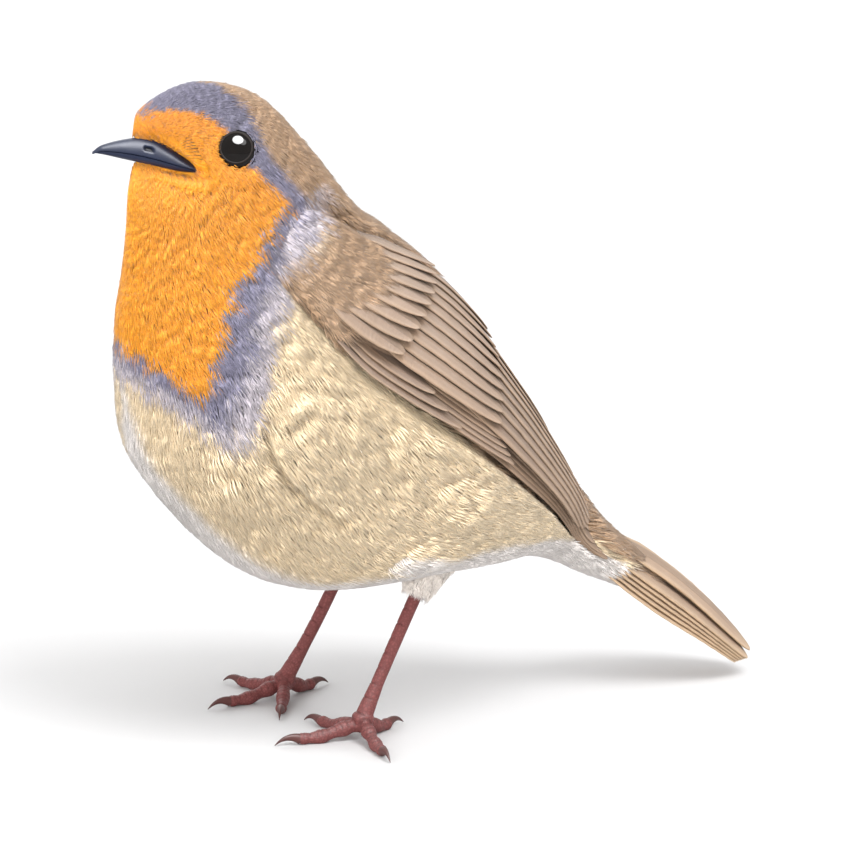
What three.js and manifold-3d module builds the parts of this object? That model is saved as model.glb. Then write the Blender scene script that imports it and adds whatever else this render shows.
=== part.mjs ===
// A European robin (Erithacus rubecula), adult, standing upright on level ground, life-size.
// Millimetres, +Z up. The bird faces -X, its left side faces -Y, and its soles are at z = 0.
// The group is shifted at the end so that its origin is the centre of its footprint box.
import * as THREE from "three";
import { mergeVertices } from "three/addons/utils/BufferGeometryUtils.js";
import Module from "manifold-3d";

const wasm = await Module();
wasm.setup();

// ---------------------------------------------------------------- driving dimensions

const GAP = 0.3; // clearance kept between neighbouring solids
const SKIN_GAP = 0.36; // the same, measured across a sloping flank

// Stations of head, neck, torso and rump, from the bill's root to the tail's root. back and front are the
// ends of a section in the middle plane, as [x, z]; half is its half width, and bow is how far its flanks
// lie behind the line between its ends.
const STATIONS = [
  { name: "bill root", back: [-29.6, 86.4], front: [-29.6, 81.4], half: 2.0, bow: 2.4 },
  { name: "forehead", back: [-28.2, 89.9], front: [-30.3, 78.0], half: 4.8, bow: 4.2 },
  { name: "crown", back: [-21.0, 93.2], front: [-30.7, 72.0], half: 7.6, bow: 2.8 },
  { name: "hind crown", back: [-12.3, 91.4], front: [-31.4, 66.0], half: 9.8, bow: 1.2 },
  { name: "nape", back: [-5.3, 84.5], front: [-32.4, 59.2], half: 12.0, bow: 0.4 },
  { name: "shoulder", back: [3.8, 73.2], front: [-32.2, 50.1], half: 18.0, bow: 0 },
  { name: "mantle", back: [15.8, 63.2], front: [-29.0, 37.8], half: 22.8, bow: 0 },
  { name: "lower back", back: [26.4, 48.6], front: [-12.8, 22.2], half: 23.2, bow: 0 },
  { name: "rump", back: [34.6, 35.4], front: [12.0, 21.9], half: 16.4, bow: 0 },
  { name: "tail coverts", back: [40.2, 27.4], front: [27.4, 22.2], half: 8.4, bow: 0 },
  { name: "tail root", back: [45.4, 22.4], front: [40.5, 16.8], half: 4.6, bow: 0 },
];
const EGG = { head: -0.1, body: 0.12, from: 0.3, to: 0.6 }; // how much a section widens to its lower half
const FULLNESS = 0.045; // how far a section bulges past an ellipse at its four corners
const LORES = { z: 82.4, halfHeight: 6, depth: 0.38, back: -18.5, front: -25 }; // the face's narrow part
const MANTLE = { start: 0.488, full: 0.508, fade: 0.53, end: 0.62, height: 0.9 }; // its fold behind the nape
const BODY_SIDES = 32;
const BODY_RINGS = { head: 16, rest: 20 }; // in the head, and from there to the tail

// Where the body is parted, as fractions of the way along the stations.
const HEAD_END = 0.36;
const NECK_END = 0.48;
const TORSO_END = 0.87;

// The head is turned to the bird's right, about a vertical axis through the neck.
const HEAD_TURN = THREE.MathUtils.degToRad(-10);
const TURN_AXIS_X = -12;
const TURN_FULL = 0.35; // before this fraction a section turns wholly with the head
const TURN_NONE = 0.55; // after this one it doesn't turn

const EYE = {
  along: 0.293,
  around: 1.04,
  radius: 3.3,
  rise: -2.5, // its centre lies this far under the plumage
  ahead: THREE.MathUtils.degToRad(7), // it looks further ahead than the plumage round it
  lid: 2.7,
  rim: 0.48,
};

// Sections of the bill from its gape to its tip, before the head turns: z is the level of the mouth line.
const BILL_SECTIONS = [
  { x: -20.9, z: 81.3, half: 4.7, above: 0.5, below: 0.5 },
  { x: -23.2, z: 81.9, half: 4.0, above: 1.6, below: 1.0 },
  { x: -25.0, z: 82.4, half: 3.3, above: 2.4, below: 1.15 },
  { x: -26.8, z: 82.9, half: 2.65, above: 2.7, below: 1.15 },
  { x: -29.0, z: 83.4, half: 2.0, above: 2.1, below: 1.1 },
  { x: -31.6, z: 83.8, half: 1.3, above: 1.35, below: 0.85 },
  { x: -33.8, z: 83.95, half: 0.75, above: 0.65, below: 0.45 },
  { x: -35.2, z: 83.8, half: 0.22, above: 0.2, below: 0.12 },
];
const NOSTRIL = { x: -29.2, y: 1.75, z: 84.8, size: [1.0, 0.55, 0.32] };

const WING = {
  from: 0.45, // fractions of the way along the body that the folded wing covers
  to: 0.985,
  upperEdge: [34, 18, 13, 18, 70], // degrees round from the back, from shoulder to tip
  lowerEdge: [78, 79, 63, 74, 116],
  bed: 3.4, // how deep the folded wing lies in the plumage of the flank
};

const TAIL = {
  root: [40.0, 23.6], // its upper face, in the middle plane
  bend: [51.0, 20.2],
  tip: [66.0, 3.6],
  stub: { length: 0.4, half: [4.4, 4.0], height: [3.0, 1.7] }, // the coverts that its feathers grow from
  pairs: 6,
  half: 2.75, // half the width of a feather
  middles: [0.5, 2.65, 4.2], // from the tail's middle to a feather's shaft: first, second and last pair
  step: 0.58, // each pair lies this far under the one inside it, and at the tip 0.6 of it
  thickness: 0.42,
  roll: THREE.MathUtils.degToRad(25), // the near edge is lowered by this twist
};

const LEG = {
  heelHeight: 28,
  halfStance: 12.2, // from the middle plane to the foot's hub
  halfHips: 10.4, // the same at the heel
  tarsusRadius: 0.92,
  hubHeight: 3.0,
  hubRadius: 1.65,
  tuftEnd: 0.36, // how far down the tarsus the feathered thigh reaches
};
const FEET = [
  { side: "left", y: -1, heelX: 11.8, bow: -0.4, hubX: -1.2, heading: 4, inner: 65, outer: 90, hallux: 143 },
  { side: "right", y: 1, heelX: 8.2, bow: 1.5, hubX: -4.0, heading: -10, inner: 56, outer: 75, hallux: 160 },
];
const TOES = {
  middle: { length: 9.5, radius: 1.04, claw: 3.2, pads: 3 },
  inner: { length: 9.2, radius: 0.98, claw: 3.1, pads: 2 },
  outer: { length: 9.5, radius: 1.0, claw: 3.2, pads: 3 },
  hallux: { length: 6.3, radius: 1.04, claw: 3.4, pads: 2 },
};

// ---------------------------------------------------------------- materials

const paint = (color, roughness) => new THREE.MeshStandardMaterial({ color, roughness, metalness: 0 });
const MATERIALS = {
  head: paint(0xf2a049, 0.85),
  neck: paint(0xe89c4c, 0.85),
  torso: paint(0xe4ceab, 0.88),
  rump: paint(0xb49c84, 0.88),
  wing: paint(0xb29a83, 0.75),
  tail: paint(0xae967f, 0.75),
  bill: paint(0x55627f, 0.35),
  eye: paint(0x0b0a0a, 0.08),
  leg: paint(0x95615e, 0.55),
  claw: paint(0x7d5350, 0.4),
  thigh: paint(0xe9dcc8, 0.9),
};

// ---------------------------------------------------------------- solids

/** A closed surface through rings of equal count. Each end closes on an apex, by default its own middle;
 *  split tells which of a ring's quads are cut by their other diagonal. */
function loft(rings, { startApex, endApex, split = (j) => j % 2 === 1 } = {}) {
  const sides = rings[0].length;
  const ends = [startApex ?? middleOf(rings[0]), endApex ?? middleOf(rings.at(-1))];
  const points = [...rings.flat(), ...ends];
  const faces = [];
  const at = (i, j) => i * sides + (j % sides);
  for (let i = 0; i < rings.length - 1; i++) {
    for (let j = 0; j < sides; j++) {
      const [a, b, c, d] = [at(i, j), at(i, j + 1), at(i + 1, j + 1), at(i + 1, j)];
      if (split(j)) faces.push([a, b, d], [b, c, d]);
      else faces.push([a, b, c], [a, c, d]);
    }
  }
  for (let j = 0; j < sides; j++) {
    faces.push([at(0, j + 1), at(0, j), points.length - 2]);
    faces.push([at(rings.length - 1, j), at(rings.length - 1, j + 1), points.length - 1]);
  }
  return facingOut(points, faces);
}

function middleOf(ring) {
  const sum = ring.reduce((total, p) => total.add(p), new THREE.Vector3());
  return sum.divideScalar(ring.length);
}

function facingOut(points, faces) {
  const volume = faces.reduce(
    (total, [a, b, c]) => total + points[a].dot(points[b].clone().cross(points[c])),
    0,
  );
  const turned = volume < 0 ? faces.map(([a, b, c]) => [a, c, b]) : faces;
  return solidFrom(points.flatMap((p) => p.toArray()), turned.flat());
}

function solidFrom(positions, indices) {
  const mesh = new wasm.Mesh({
    numProp: 3,
    vertProperties: new Float32Array(positions),
    triVerts: new Uint32Array(indices),
  });
  return new wasm.Manifold(mesh);
}

/** A three.js geometry, placed by a matrix, as a solid. */
function solidOf(geometry, matrix = new THREE.Matrix4()) {
  const bare = geometry.clone().applyMatrix4(matrix);
  bare.deleteAttribute("normal");
  bare.deleteAttribute("uv");
  const merged = mergeVertices(bare, 1e-4);
  return solidFrom(merged.attributes.position.array, merged.index.array);
}

/** Joins pieces and keeps the largest closed body, with any hollow that the joining sealed filled in. */
function fuse(pieces) {
  const joined = pieces.reduce((whole, piece) => whole.add(piece));
  return largest(joined);
}

function largest(solid) {
  return solid.decompose().reduce((best, body) => (body.volume() > best.volume() ? body : best));
}

function geometryOf(solid) {
  const { numProp, numVert, vertProperties, triVerts } = solid.getMesh();
  const position = new Float32Array(numVert * 3);
  for (let i = 0; i < numVert; i++) {
    position.set(vertProperties.subarray(i * numProp, i * numProp + 3), i * 3);
  }
  const geometry = new THREE.BufferGeometry();
  geometry.setAttribute("position", new THREE.BufferAttribute(position, 3));
  geometry.setIndex(new THREE.BufferAttribute(triVerts, 1));
  geometry.computeVertexNormals();
  return geometry;
}

// ---------------------------------------------------------------- the body's surface

const lineOf = (vectors) => new THREE.CatmullRomCurve3(vectors, false, "catmullrom", 0.5);
const backLine = lineOf(STATIONS.map(({ back: [x, z] }) => new THREE.Vector3(x, 0, z)));
const frontLine = lineOf(STATIONS.map(({ front: [x, z] }) => new THREE.Vector3(x, 0, z)));
const flankLine = lineOf(STATIONS.map(({ half, bow }) => new THREE.Vector3(bow, half, 0)));

const smooth = THREE.MathUtils.smoothstep;
const lerp = THREE.MathUtils.lerp;
const UP = new THREE.Vector3(0, 0, 1);

/** Turns a point with the head; share is 1 on the head and 0 on the torso. */
function turned(point, share = 1) {
  const pivot = new THREE.Vector3(TURN_AXIS_X, 0, 0);
  return point.sub(pivot).applyAxisAngle(UP, HEAD_TURN * share).add(pivot);
}

/** A point of the plumage's outline: along runs 0 to 1 from bill to tail, around 0 at the back to PI at
 *  the front, negative on the bird's right; lift stands it off the surface. */
function plumagePoint(along, around, lift = 0) {
  const back = backLine.getPoint(along);
  const front = frontLine.getPoint(along);
  const { x: bow, y: half } = flankLine.getPoint(along);
  const middle = back.clone().add(front).multiplyScalar(0.5);
  const axis = back.sub(front).multiplyScalar(0.5);
  const depth = axis.length();
  axis.normalize();
  const [c, s] = [Math.cos(around), Math.sin(around)];
  const width = half * (1 - lerp(EGG.head, EGG.body, smooth(along, EGG.from, EGG.to)) * c);
  const full = 1 + FULLNESS * Math.sin(2 * around) ** 2;
  const outX = c * width;
  const outY = s * depth;
  const scale = (lift + mantleFold(along, around)) / Math.hypot(outX, outY);
  const backward = new THREE.Vector3(axis.z, 0, -axis.x).multiplyScalar(bow * s * s);
  const point = middle.addScaledVector(axis, depth * c * full + outX * scale).add(backward);
  point.y = -(width * s * full + outY * scale) * (1 - narrowing(point));
  const share = 1 - smooth(along, TURN_FULL, TURN_NONE);
  return share > 0 ? turned(point, share) : point;
}

/** How far the mantle's feathers stand up where they begin, behind the nape. */
function mantleFold(along, around) {
  const { start, full, fade, end, height } = MANTLE;
  const fromBack = Math.abs(Math.atan2(Math.sin(around), Math.cos(around)));
  const lengthwise = smooth(along, start, full) * (1 - smooth(along, fade, end));
  return height * lengthwise * (1 - smooth(fromBack, 0.6, 1.2));
}

/** How much narrower than its section the face is between bill and eye. */
function narrowing({ x, z }) {
  const level = Math.min(1, Math.abs(z - LORES.z) / LORES.halfHeight);
  return LORES.depth * (1 - level ** 2) ** 2 * (1 - smooth(x, LORES.front, LORES.back));
}

const profile = (values) => {
  const curve = new THREE.SplineCurve(values.map((v, i) => new THREE.Vector2(i / (values.length - 1), v)));
  return (t) => curve.getPoint(THREE.MathUtils.clamp(t, 0, 1)).y;
};
const upperEdge = profile(WING.upperEdge.map(THREE.MathUtils.degToRad));
const lowerEdge = profile(WING.lowerEdge.map(THREE.MathUtils.degToRad));

/** How deep the plumage is pressed in where a folded wing lies on it. */
function bedDepth(along, around) {
  const u = (along - WING.from) / (WING.to - WING.from);
  const angle = Math.abs(Math.atan2(Math.sin(around), Math.cos(around)));
  const v = (angle - upperEdge(u)) / (lowerEdge(u) - upperEdge(u));
  const ending = 0.5 * smooth(u, 0.7, 0.95) + 0.5 * smooth(u, 1.0, 1.05);
  const lengthwise = smooth(u, -0.08, 0.05) * (1 - ending);
  return WING.bed * lengthwise * smooth(v, -0.12, 0.06) * (1 - smooth(v, 0.94, 1.12));
}

/** A point of the flesh and its plumage, pressed in under the wings. */
function bodyPoint(along, around, lift = 0) {
  return plumagePoint(along, around, lift - bedDepth(along, around));
}

function bodyRing(along, lift = 0, sides = BODY_SIDES) {
  return Array.from({ length: sides }, (_, j) => bodyPoint(along, (j / sides) * 2 * Math.PI, lift));
}

function bodySolid(lift = 0) {
  const { head, rest } = BODY_RINGS;
  const rings = Array.from({ length: head + rest + 1 }, (_, i) => {
    const along = i < head ? (i / head) * HEAD_END : lerp(HEAD_END, 1, (i - head) / rest);
    return bodyRing(along, lift);
  });
  return loft(rings);
}

/** The thin slice that parts the body at a section. */
function partingSlice(along) {
  const ring = bodyRing(along, 6, 12);
  const normal = new THREE.Plane().setFromCoplanarPoints(ring[0], ring[4], ring[8]).normal;
  const shifted = (distance) => ring.map((p) => p.clone().addScaledVector(normal, distance));
  return loft([shifted(-GAP / 2), shifted(GAP / 2)]);
}

// ---------------------------------------------------------------- head

/** One half of the bill; grow widens it for the socket in the head. */
function billHalf(upper, grow = 0) {
  const arcPoints = 7;
  const sign = upper ? 1 : -1;
  const rings = BILL_SECTIONS.map(({ x, z, half, above, below }, i) => {
    const height = (upper ? above : below) + 2 * grow; // twice, as its mouth side moves by grow too
    const mouth = z + sign * (GAP / 2 - grow);
    const back = i === 0 ? grow : 0;
    return Array.from({ length: arcPoints }, (_, j) => {
      const angle = (j / (arcPoints - 1)) * Math.PI;
      const y = (half + 2 * grow) * Math.cos(angle);
      return turned(new THREE.Vector3(x + back, y, mouth + sign * height * Math.sin(angle) ** 0.85));
    });
  });
  return loft(rings);
}

/** The slit of a nostril, cut into each side of the upper half of the bill. */
function nostril(side) {
  const place = new THREE.Matrix4().compose(
    turned(new THREE.Vector3(NOSTRIL.x, side * NOSTRIL.y, NOSTRIL.z)),
    new THREE.Quaternion().setFromEuler(new THREE.Euler(0, 0.25, HEAD_TURN)),
    new THREE.Vector3(...NOSTRIL.size),
  );
  return solidOf(new THREE.SphereGeometry(1, 10, 6), place);
}

function eyePlace(side) {
  const around = side * EYE.around;
  const surface = bodyPoint(EYE.along, around);
  const lengthwise = bodyPoint(EYE.along + 0.02, around).sub(bodyPoint(EYE.along - 0.02, around));
  const crosswise = bodyPoint(EYE.along, around + 0.1).sub(bodyPoint(EYE.along, around - 0.1));
  const out = crosswise.cross(lengthwise).normalize().applyAxisAngle(UP, -side * EYE.ahead);
  return { centre: surface.addScaledVector(out, EYE.rise), out };
}

function eyeball(side, grow = 0) {
  const { centre, out } = eyePlace(side);
  const turn = new THREE.Quaternion().setFromUnitVectors(new THREE.Vector3(0, 1, 0), out);
  const geometry = new THREE.SphereGeometry(EYE.radius + grow, 16, 8);
  return solidOf(geometry, new THREE.Matrix4().compose(centre, turn, new THREE.Vector3(1, 1, 1)));
}

/** The rim of bare lid and fine feather round an eye. */
function eyelids(side) {
  const { centre, out } = eyePlace(side);
  const depth = Math.sqrt(EYE.radius ** 2 - EYE.lid ** 2);
  const place = centre.addScaledVector(out, depth);
  const turn = new THREE.Quaternion().setFromUnitVectors(new THREE.Vector3(0, 0, 1), out);
  const size = new THREE.Vector3(1.03, 1, 1);
  return solidOf(
    new THREE.TorusGeometry(EYE.lid, EYE.rim, 5, 16),
    new THREE.Matrix4().compose(place, turn, size),
  );
}

// ---------------------------------------------------------------- feathers

/** Points over a folded wing, side being 1 on the left and -1 on the right: u runs from shoulder to tip,
 *  and v from the wing's upper edge to its lower one. */
const wingSurface = (side) => (u, v, lift) =>
  plumagePoint(lerp(WING.from, WING.to, u), side * lerp(upperEdge(u), lowerEdge(u), v), lift);

/** A feather's outline, as its half width at fractions of the way from root to tip, which is a point. */
const OUTLINE = {
  round: { s: [0, 0.3, 0.62, 0.84, 0.95], w: [0.5, 0.92, 1, 0.86, 0.5] },
  long: { s: [0, 0.22, 0.5, 0.75, 0.92, 0.98], w: [0.45, 0.85, 1, 0.92, 0.66, 0.3] },
  square: { s: [0, 0.2, 0.5, 0.75, 0.95, 0.99], w: [0.55, 0.9, 1, 1, 0.92, 0.55] },
};

/** A feather as a thin closed blade. surface(s, across, lift) gives its points, across in millimetres. */
function vane(surface, { half, outline, thickness = 0.5 }) {
  const rings = outline.s.map((s, i) => {
    const w = half * outline.w[i];
    const h = (thickness / 2) * (1 - 0.3 * s);
    return [surface(s, -w, h), surface(s, w, h), surface(s, w, -h), surface(s, -w, -h)];
  });
  return loft(rings, { endApex: surface(1, 0, 0), split: (j) => j === 2 });
}

/** A row of feathers on a wing's surface. Each pair of values in u, v and half is for the first feather,
 *  nearest the back, and the last; in lift and shingle it is for root and tip. A feather's lower edge
 *  stands over the next one's upper edge by its shingle, a slope. */
function wingRow(wingPoint, { count, root, tip, lift, shingle, half, outline, reach = () => 0 }) {
  const widthAt = (u) => wingPoint(u, 0, 1).distanceTo(wingPoint(u, 1, 1));
  return Array.from({ length: count }, (_, k) => {
    const share = k / (count - 1);
    const along = ([first, last]) => lerp(first, last, share);
    const tipU = along(tip.u) + reach(share);
    const surface = (s, across, up) => {
      const u = lerp(along(root.u), tipU, s);
      const v = lerp(along(root.v), along(tip.v), s) + across / widthAt(u);
      return wingPoint(u, v, lerp(...lift, s) + lerp(...shingle, s) * across + up);
    };
    return vane(surface, { half: along(half), outline });
  });
}

const ARM = { from: -0.04, to: 0.46, halfWidth: 0.47, under: -2.2, height: 2.66 }; // in u, v and lift
const ARM_FEATHERS = { count: 7, v: [0.1, 0.74] }; // tertials and secondaries, with a covert over each
const WING_ROWS = {
  primaries: {
    count: 5,
    root: { u: [0.44, 0.34], v: [0.68, 0.93] },
    tip: { u: [0.85, 0.93], v: [0.34, 0.78] },
    reach: (share) => 0.09 * Math.sin(Math.PI * share),
    lift: [-2.2, -1.7],
    shingle: [0.15, 0.45],
    half: [1.9, 1.7],
    outline: OUTLINE.long,
  },
  secondaries: {
    count: ARM_FEATHERS.count,
    root: { u: [0.24, 0.32], v: ARM_FEATHERS.v },
    tip: { u: [0.57, 0.78], v: [0.14, 0.74] },
    reach: (share) => 0.12 * Math.sin(Math.PI * share ** 0.8) ** 0.8,
    lift: [-0.8, -0.6],
    shingle: [0.3, 0.34],
    half: [2.7, 2.4],
    outline: OUTLINE.long,
  },
  greaterCoverts: {
    count: ARM_FEATHERS.count,
    root: { u: [0.14, 0.19], v: ARM_FEATHERS.v },
    tip: { u: [0.36, 0.43], v: ARM_FEATHERS.v },
    lift: [-0.7, 0.3],
    shingle: [0.3, 0.32],
    half: [2.5, 2.3],
    outline: OUTLINE.round,
  },
  medianCoverts: {
    count: ARM_FEATHERS.count - 1,
    root: { u: [0.07, 0.1], v: [0.16, 0.76] },
    tip: { u: [0.22, 0.27], v: [0.15, 0.77] },
    lift: [-0.7, 1.1],
    shingle: [0.3, 0.32],
    half: [2.6, 2.4],
    outline: OUTLINE.round,
  },
  primaryCoverts: {
    count: 3,
    root: { u: [0.25, 0.26], v: [0.8, 0.91] },
    tip: { u: [0.46, 0.5], v: [0.81, 0.92] },
    lift: [-1.6, -0.9],
    shingle: [0.3, 0.4],
    half: [1.6, 1.5],
    outline: OUTLINE.round,
  },
  alula: {
    count: 2,
    root: { u: [0.18, 0.18], v: [0.87, 0.94] },
    tip: { u: [0.35, 0.39], v: [0.88, 0.95] },
    lift: [-1.6, -0.1],
    shingle: [0.3, 0.4],
    half: [1.4, 1.3],
    outline: OUTLINE.round,
  },
};

/** The muscled arm and small coverts that a wing's feathers grow from. */
function wingArm(wingPoint) {
  const rings = [];
  const [sections, sides] = [9, 9];
  for (let i = 1; i < sections; i++) {
    const s = (i / sections) ** 1.5;
    const u = lerp(ARM.from, ARM.to, s);
    const full = Math.sin(Math.PI * s ** 0.66) ** 0.75;
    const ring = [];
    for (let j = 0; j <= sides; j++) {
      const turn = (j / sides) * Math.PI;
      const v = 0.5 + ARM.halfWidth * full * Math.cos(turn);
      ring.push(wingPoint(u, v, ARM.under + ARM.height * full * Math.sin(turn) ** 0.5));
    }
    rings.push(ring);
  }
  return loft(rings);
}

function wing(side, clearOfBody) {
  const wingPoint = wingSurface(side);
  const vanes = Object.values(WING_ROWS).flatMap((row) => wingRow(wingPoint, row));
  return largest(fuse([wingArm(wingPoint), ...vanes]).subtract(clearOfBody));
}

// ---------------------------------------------------------------- tail

const tailLine = new THREE.QuadraticBezierCurve3(
  ...[TAIL.root, TAIL.bend, TAIL.tip].map(([x, z]) => new THREE.Vector3(x, 0, z)),
);

/** A point of the tail: s runs from root to tip, side to the bird's left and lift off its upper face. */
function tailPoint(s, side, lift) {
  const tangent = tailLine.getTangent(s);
  const across = new THREE.Vector3(0, -1, 0).applyAxisAngle(tangent, TAIL.roll * smooth(s, -0.3, 0.3));
  const above = across.clone().cross(tangent);
  return tailLine.getPoint(s).addScaledVector(across, side).addScaledVector(above, lift);
}

/** A tail feather: the middle pair lies on top, the left over the right, and each further pair under it. */
function tailFeather(pair, side) {
  const { pairs, half, middles, step, thickness } = TAIL;
  const [first, second, last] = middles;
  const rank = Math.max(0, (pair - 1) / (pairs - 2));
  const middle = side * (pair === 0 ? first : lerp(second, last, rank));
  const depth = step * (pair === 0 ? (side < 0 ? 1 : 0) : pair + 1);
  const surface = (s, across, up) => {
    const spread = 0.82 + 0.18 * smooth(s, 0, 0.45) + 0.14 * Math.sin(Math.PI * s) - 0.25 * smooth(s, 0.55, 1);
    const under = depth * (1 - 0.4 * smooth(s, 0.45, 1));
    return tailPoint(lerp(0.06, 1 - 0.03 * rank, s), middle * spread + across, up - under);
  };
  return vane(surface, { half, thickness, outline: OUTLINE.square });
}

/** The short coverts round the tail's root. */
function tailStub() {
  const { length, half, height } = TAIL.stub;
  const [sections, sides] = [4, 10];
  const rings = Array.from({ length: sections + 1 }, (_, i) => {
    const s = i / sections;
    const [wide, high] = [lerp(...half, s), lerp(...height, s)];
    return Array.from({ length: sides }, (_, j) => {
      const angle = (j / sides) * 2 * Math.PI;
      return tailPoint(s * length, wide * Math.cos(angle), high * Math.sin(angle) - 0.9 * high - 0.3);
    });
  });
  return loft(rings);
}

function tail(clearOfBody) {
  const vanes = [];
  for (let pair = 0; pair < TAIL.pairs; pair++) {
    for (const side of [1, -1]) vanes.push(tailFeather(pair, side));
  }
  return largest(fuse([tailStub(), ...vanes]).subtract(clearOfBody));
}

// ---------------------------------------------------------------- legs and feet

/** A round-sectioned limb along a curve, with its radius from 0 to 1 along it. */
function limb(curve, radiusAt, steps, sides, flat = 1) {
  const rings = [];
  for (let i = 0; i <= steps; i++) {
    const s = i / steps;
    const tangent = curve.getTangent(s);
    const across = new THREE.Vector3().crossVectors(UP, tangent);
    if (across.lengthSq() < 1e-4) across.set(0, 1, 0);
    across.normalize();
    const above = new THREE.Vector3().crossVectors(tangent, across);
    const radius = radiusAt(s);
    rings.push(
      Array.from({ length: sides }, (_, j) => {
        const angle = ((j + 0.5) / sides) * 2 * Math.PI;
        return curve
          .getPoint(s)
          .addScaledVector(across, radius * Math.cos(angle))
          .addScaledVector(above, radius * flat * Math.sin(angle));
      }),
    );
  }
  return loft(rings);
}

const heelOf = ({ y, heelX }) => new THREE.Vector3(heelX, y * LEG.halfHips, LEG.heelHeight);
const hubOf = ({ y, hubX }) => new THREE.Vector3(hubX, y * LEG.halfStance, LEG.hubHeight);

function shank(foot) {
  const [heel, hub] = [heelOf(foot), hubOf(foot)];
  const bow = heel.clone().lerp(hub, 0.55).add(new THREE.Vector3(foot.bow, 0, 0));
  return new THREE.QuadraticBezierCurve3(heel, bow, hub);
}

/** The scaled lower leg, ending in the hub that the toes spread from. */
function tarsus(foot, grow = 0) {
  const swell = (s) => 1 + 0.35 * smooth(s, 0.75, 1) + 0.3 * (1 - smooth(s, 0, 0.2));
  const radius = (s) => grow + LEG.tarsusRadius * swell(s);
  const hub = new THREE.SphereGeometry(LEG.hubRadius + grow, 10, 6).scale(1, 1, 0.8);
  const place = new THREE.Matrix4().setPosition(hubOf(foot));
  return fuse([limb(shank(foot), radius, 8, 8), solidOf(hub, place)]);
}

/** The feathered thigh: a cone of plumage from the belly down to the top of the tarsus. */
function thigh(foot, clearOfBody) {
  const curve = shank(foot);
  const top = heelOf(foot).add(new THREE.Vector3(3, -foot.y * 1.5, 6));
  const end = curve.getPoint(LEG.tuftEnd);
  const line = new THREE.LineCurve3(top, end);
  const cone = limb(line, (s) => 1.35 + 6.2 * (1 - s ** 0.9), 7, 12);
  return largest(cone.subtract(clearOfBody).subtract(tarsus(foot, GAP)));
}

function toeHeading(foot, name) {
  const turn = {
    middle: 0,
    inner: -foot.y * foot.inner,
    outer: foot.y * foot.outer,
    hallux: foot.hallux,
  }[name];
  const degrees = foot.heading + turn;
  const angle = THREE.MathUtils.degToRad(180 - degrees);
  return new THREE.Vector3(Math.cos(angle), Math.sin(angle), 0);
}

function toeLine(foot, name) {
  const { length, radius } = TOES[name];
  const ahead = toeHeading(foot, name);
  const hub = hubOf(foot);
  const height = (distance, z) => hub.clone().addScaledVector(ahead, distance).setZ(z);
  return new THREE.CatmullRomCurve3([
    height(0.4, 2.2),
    height(length * 0.3, 1.75),
    height(length * 0.66, radius * 0.86),
    height(length, radius * 0.8),
  ]);
}

function toeBody(foot, name, grow = 0) {
  const { radius, pads } = TOES[name];
  const swell = (s) => grow + radius * (1.06 - 0.26 * s) * (1 + 0.13 * Math.cos(2 * Math.PI * pads * s));
  return limb(toeLine(foot, name), swell, 4 * pads, 7, 0.92);
}

/** A toe with swollen joints and pads flat on the ground, cut clear of the solids round it. */
function toe(foot, name, neighbours) {
  return largest(neighbours.reduce((solid, other) => solid.subtract(other), toeBody(foot, name)));
}

/** A claw: a curved, tapering cone from the toe's end to a point just over the ground. */
function claw(foot, name) {
  const { claw: length, radius } = TOES[name];
  const line = toeLine(foot, name);
  const ahead = toeHeading(foot, name);
  const start = line.getPoint(1).addScaledVector(line.getTangent(1), GAP);
  const arch = start.clone().addScaledVector(ahead, length * 0.55).setZ(start.z + 0.75);
  const point = start.clone().addScaledVector(ahead, length).setZ(0.16);
  const curve = new THREE.QuadraticBezierCurve3(start, arch, point);
  return limb(curve, (s) => radius * 0.7 * (1 - 0.86 * s), 4, 6, 1.05);
}

// ---------------------------------------------------------------- the bird

const robin = new THREE.Group();

function addNode(name, solid, material) {
  const mesh = new THREE.Mesh(geometryOf(solid), material);
  mesh.name = name;
  robin.add(mesh);
}

const clearOfBody = bodySolid(SKIN_GAP);
const slices = [HEAD_END, NECK_END, TORSO_END].map(partingSlice);
const parted = slices.reduce((body, slice) => body.subtract(slice), bodySolid()).decompose();
const [head, neck, torso, rump] = parted.sort((a, b) => b.boundingBox().max[2] - a.boundingBox().max[2]);

const sockets = [billHalf(true, GAP), billHalf(false, GAP), eyeball(1, GAP), eyeball(-1, GAP)];
const lidded = fuse([head, eyelids(1), eyelids(-1)]);
const socketed = sockets.reduce((solid, socket) => solid.subtract(socket), lidded);
addNode("head", largest(socketed), MATERIALS.head);
addNode("neck", neck, MATERIALS.neck);
addNode("torso", torso, MATERIALS.torso);
addNode("rump", rump, MATERIALS.rump);
addNode("bill_upper", billHalf(true).subtract(nostril(1)).subtract(nostril(-1)), MATERIALS.bill);
addNode("bill_lower", billHalf(false), MATERIALS.bill);
addNode("eye_left", eyeball(1), MATERIALS.eye);
addNode("eye_right", eyeball(-1), MATERIALS.eye);

addNode("wing_left", wing(1, clearOfBody), MATERIALS.wing);
addNode("wing_right", wing(-1, clearOfBody), MATERIALS.wing);
addNode("tail", tail(clearOfBody), MATERIALS.tail);

const ground = solidOf(new THREE.BoxGeometry(120, 120, 10), new THREE.Matrix4().setPosition(0, 0, -5));
for (const foot of FEET) {
  addNode(`thigh_${foot.side}`, thigh(foot, clearOfBody), MATERIALS.thigh);
  addNode(`tarsus_${foot.side}`, largest(tarsus(foot).subtract(clearOfBody)), MATERIALS.leg);
  const neighbours = [tarsus(foot, GAP), ground];
  for (const name of Object.keys(TOES)) {
    addNode(`toe_${foot.side}_${name}`, toe(foot, name, neighbours), MATERIALS.leg);
    addNode(`claw_${foot.side}_${name}`, claw(foot, name), MATERIALS.claw);
    neighbours.push(toeBody(foot, name, GAP));
  }
}

const footprint = new THREE.Box3().setFromObject(robin).getCenter(new THREE.Vector3());
robin.position.set(-footprint.x, -footprint.y, 0);

export default robin;
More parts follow.
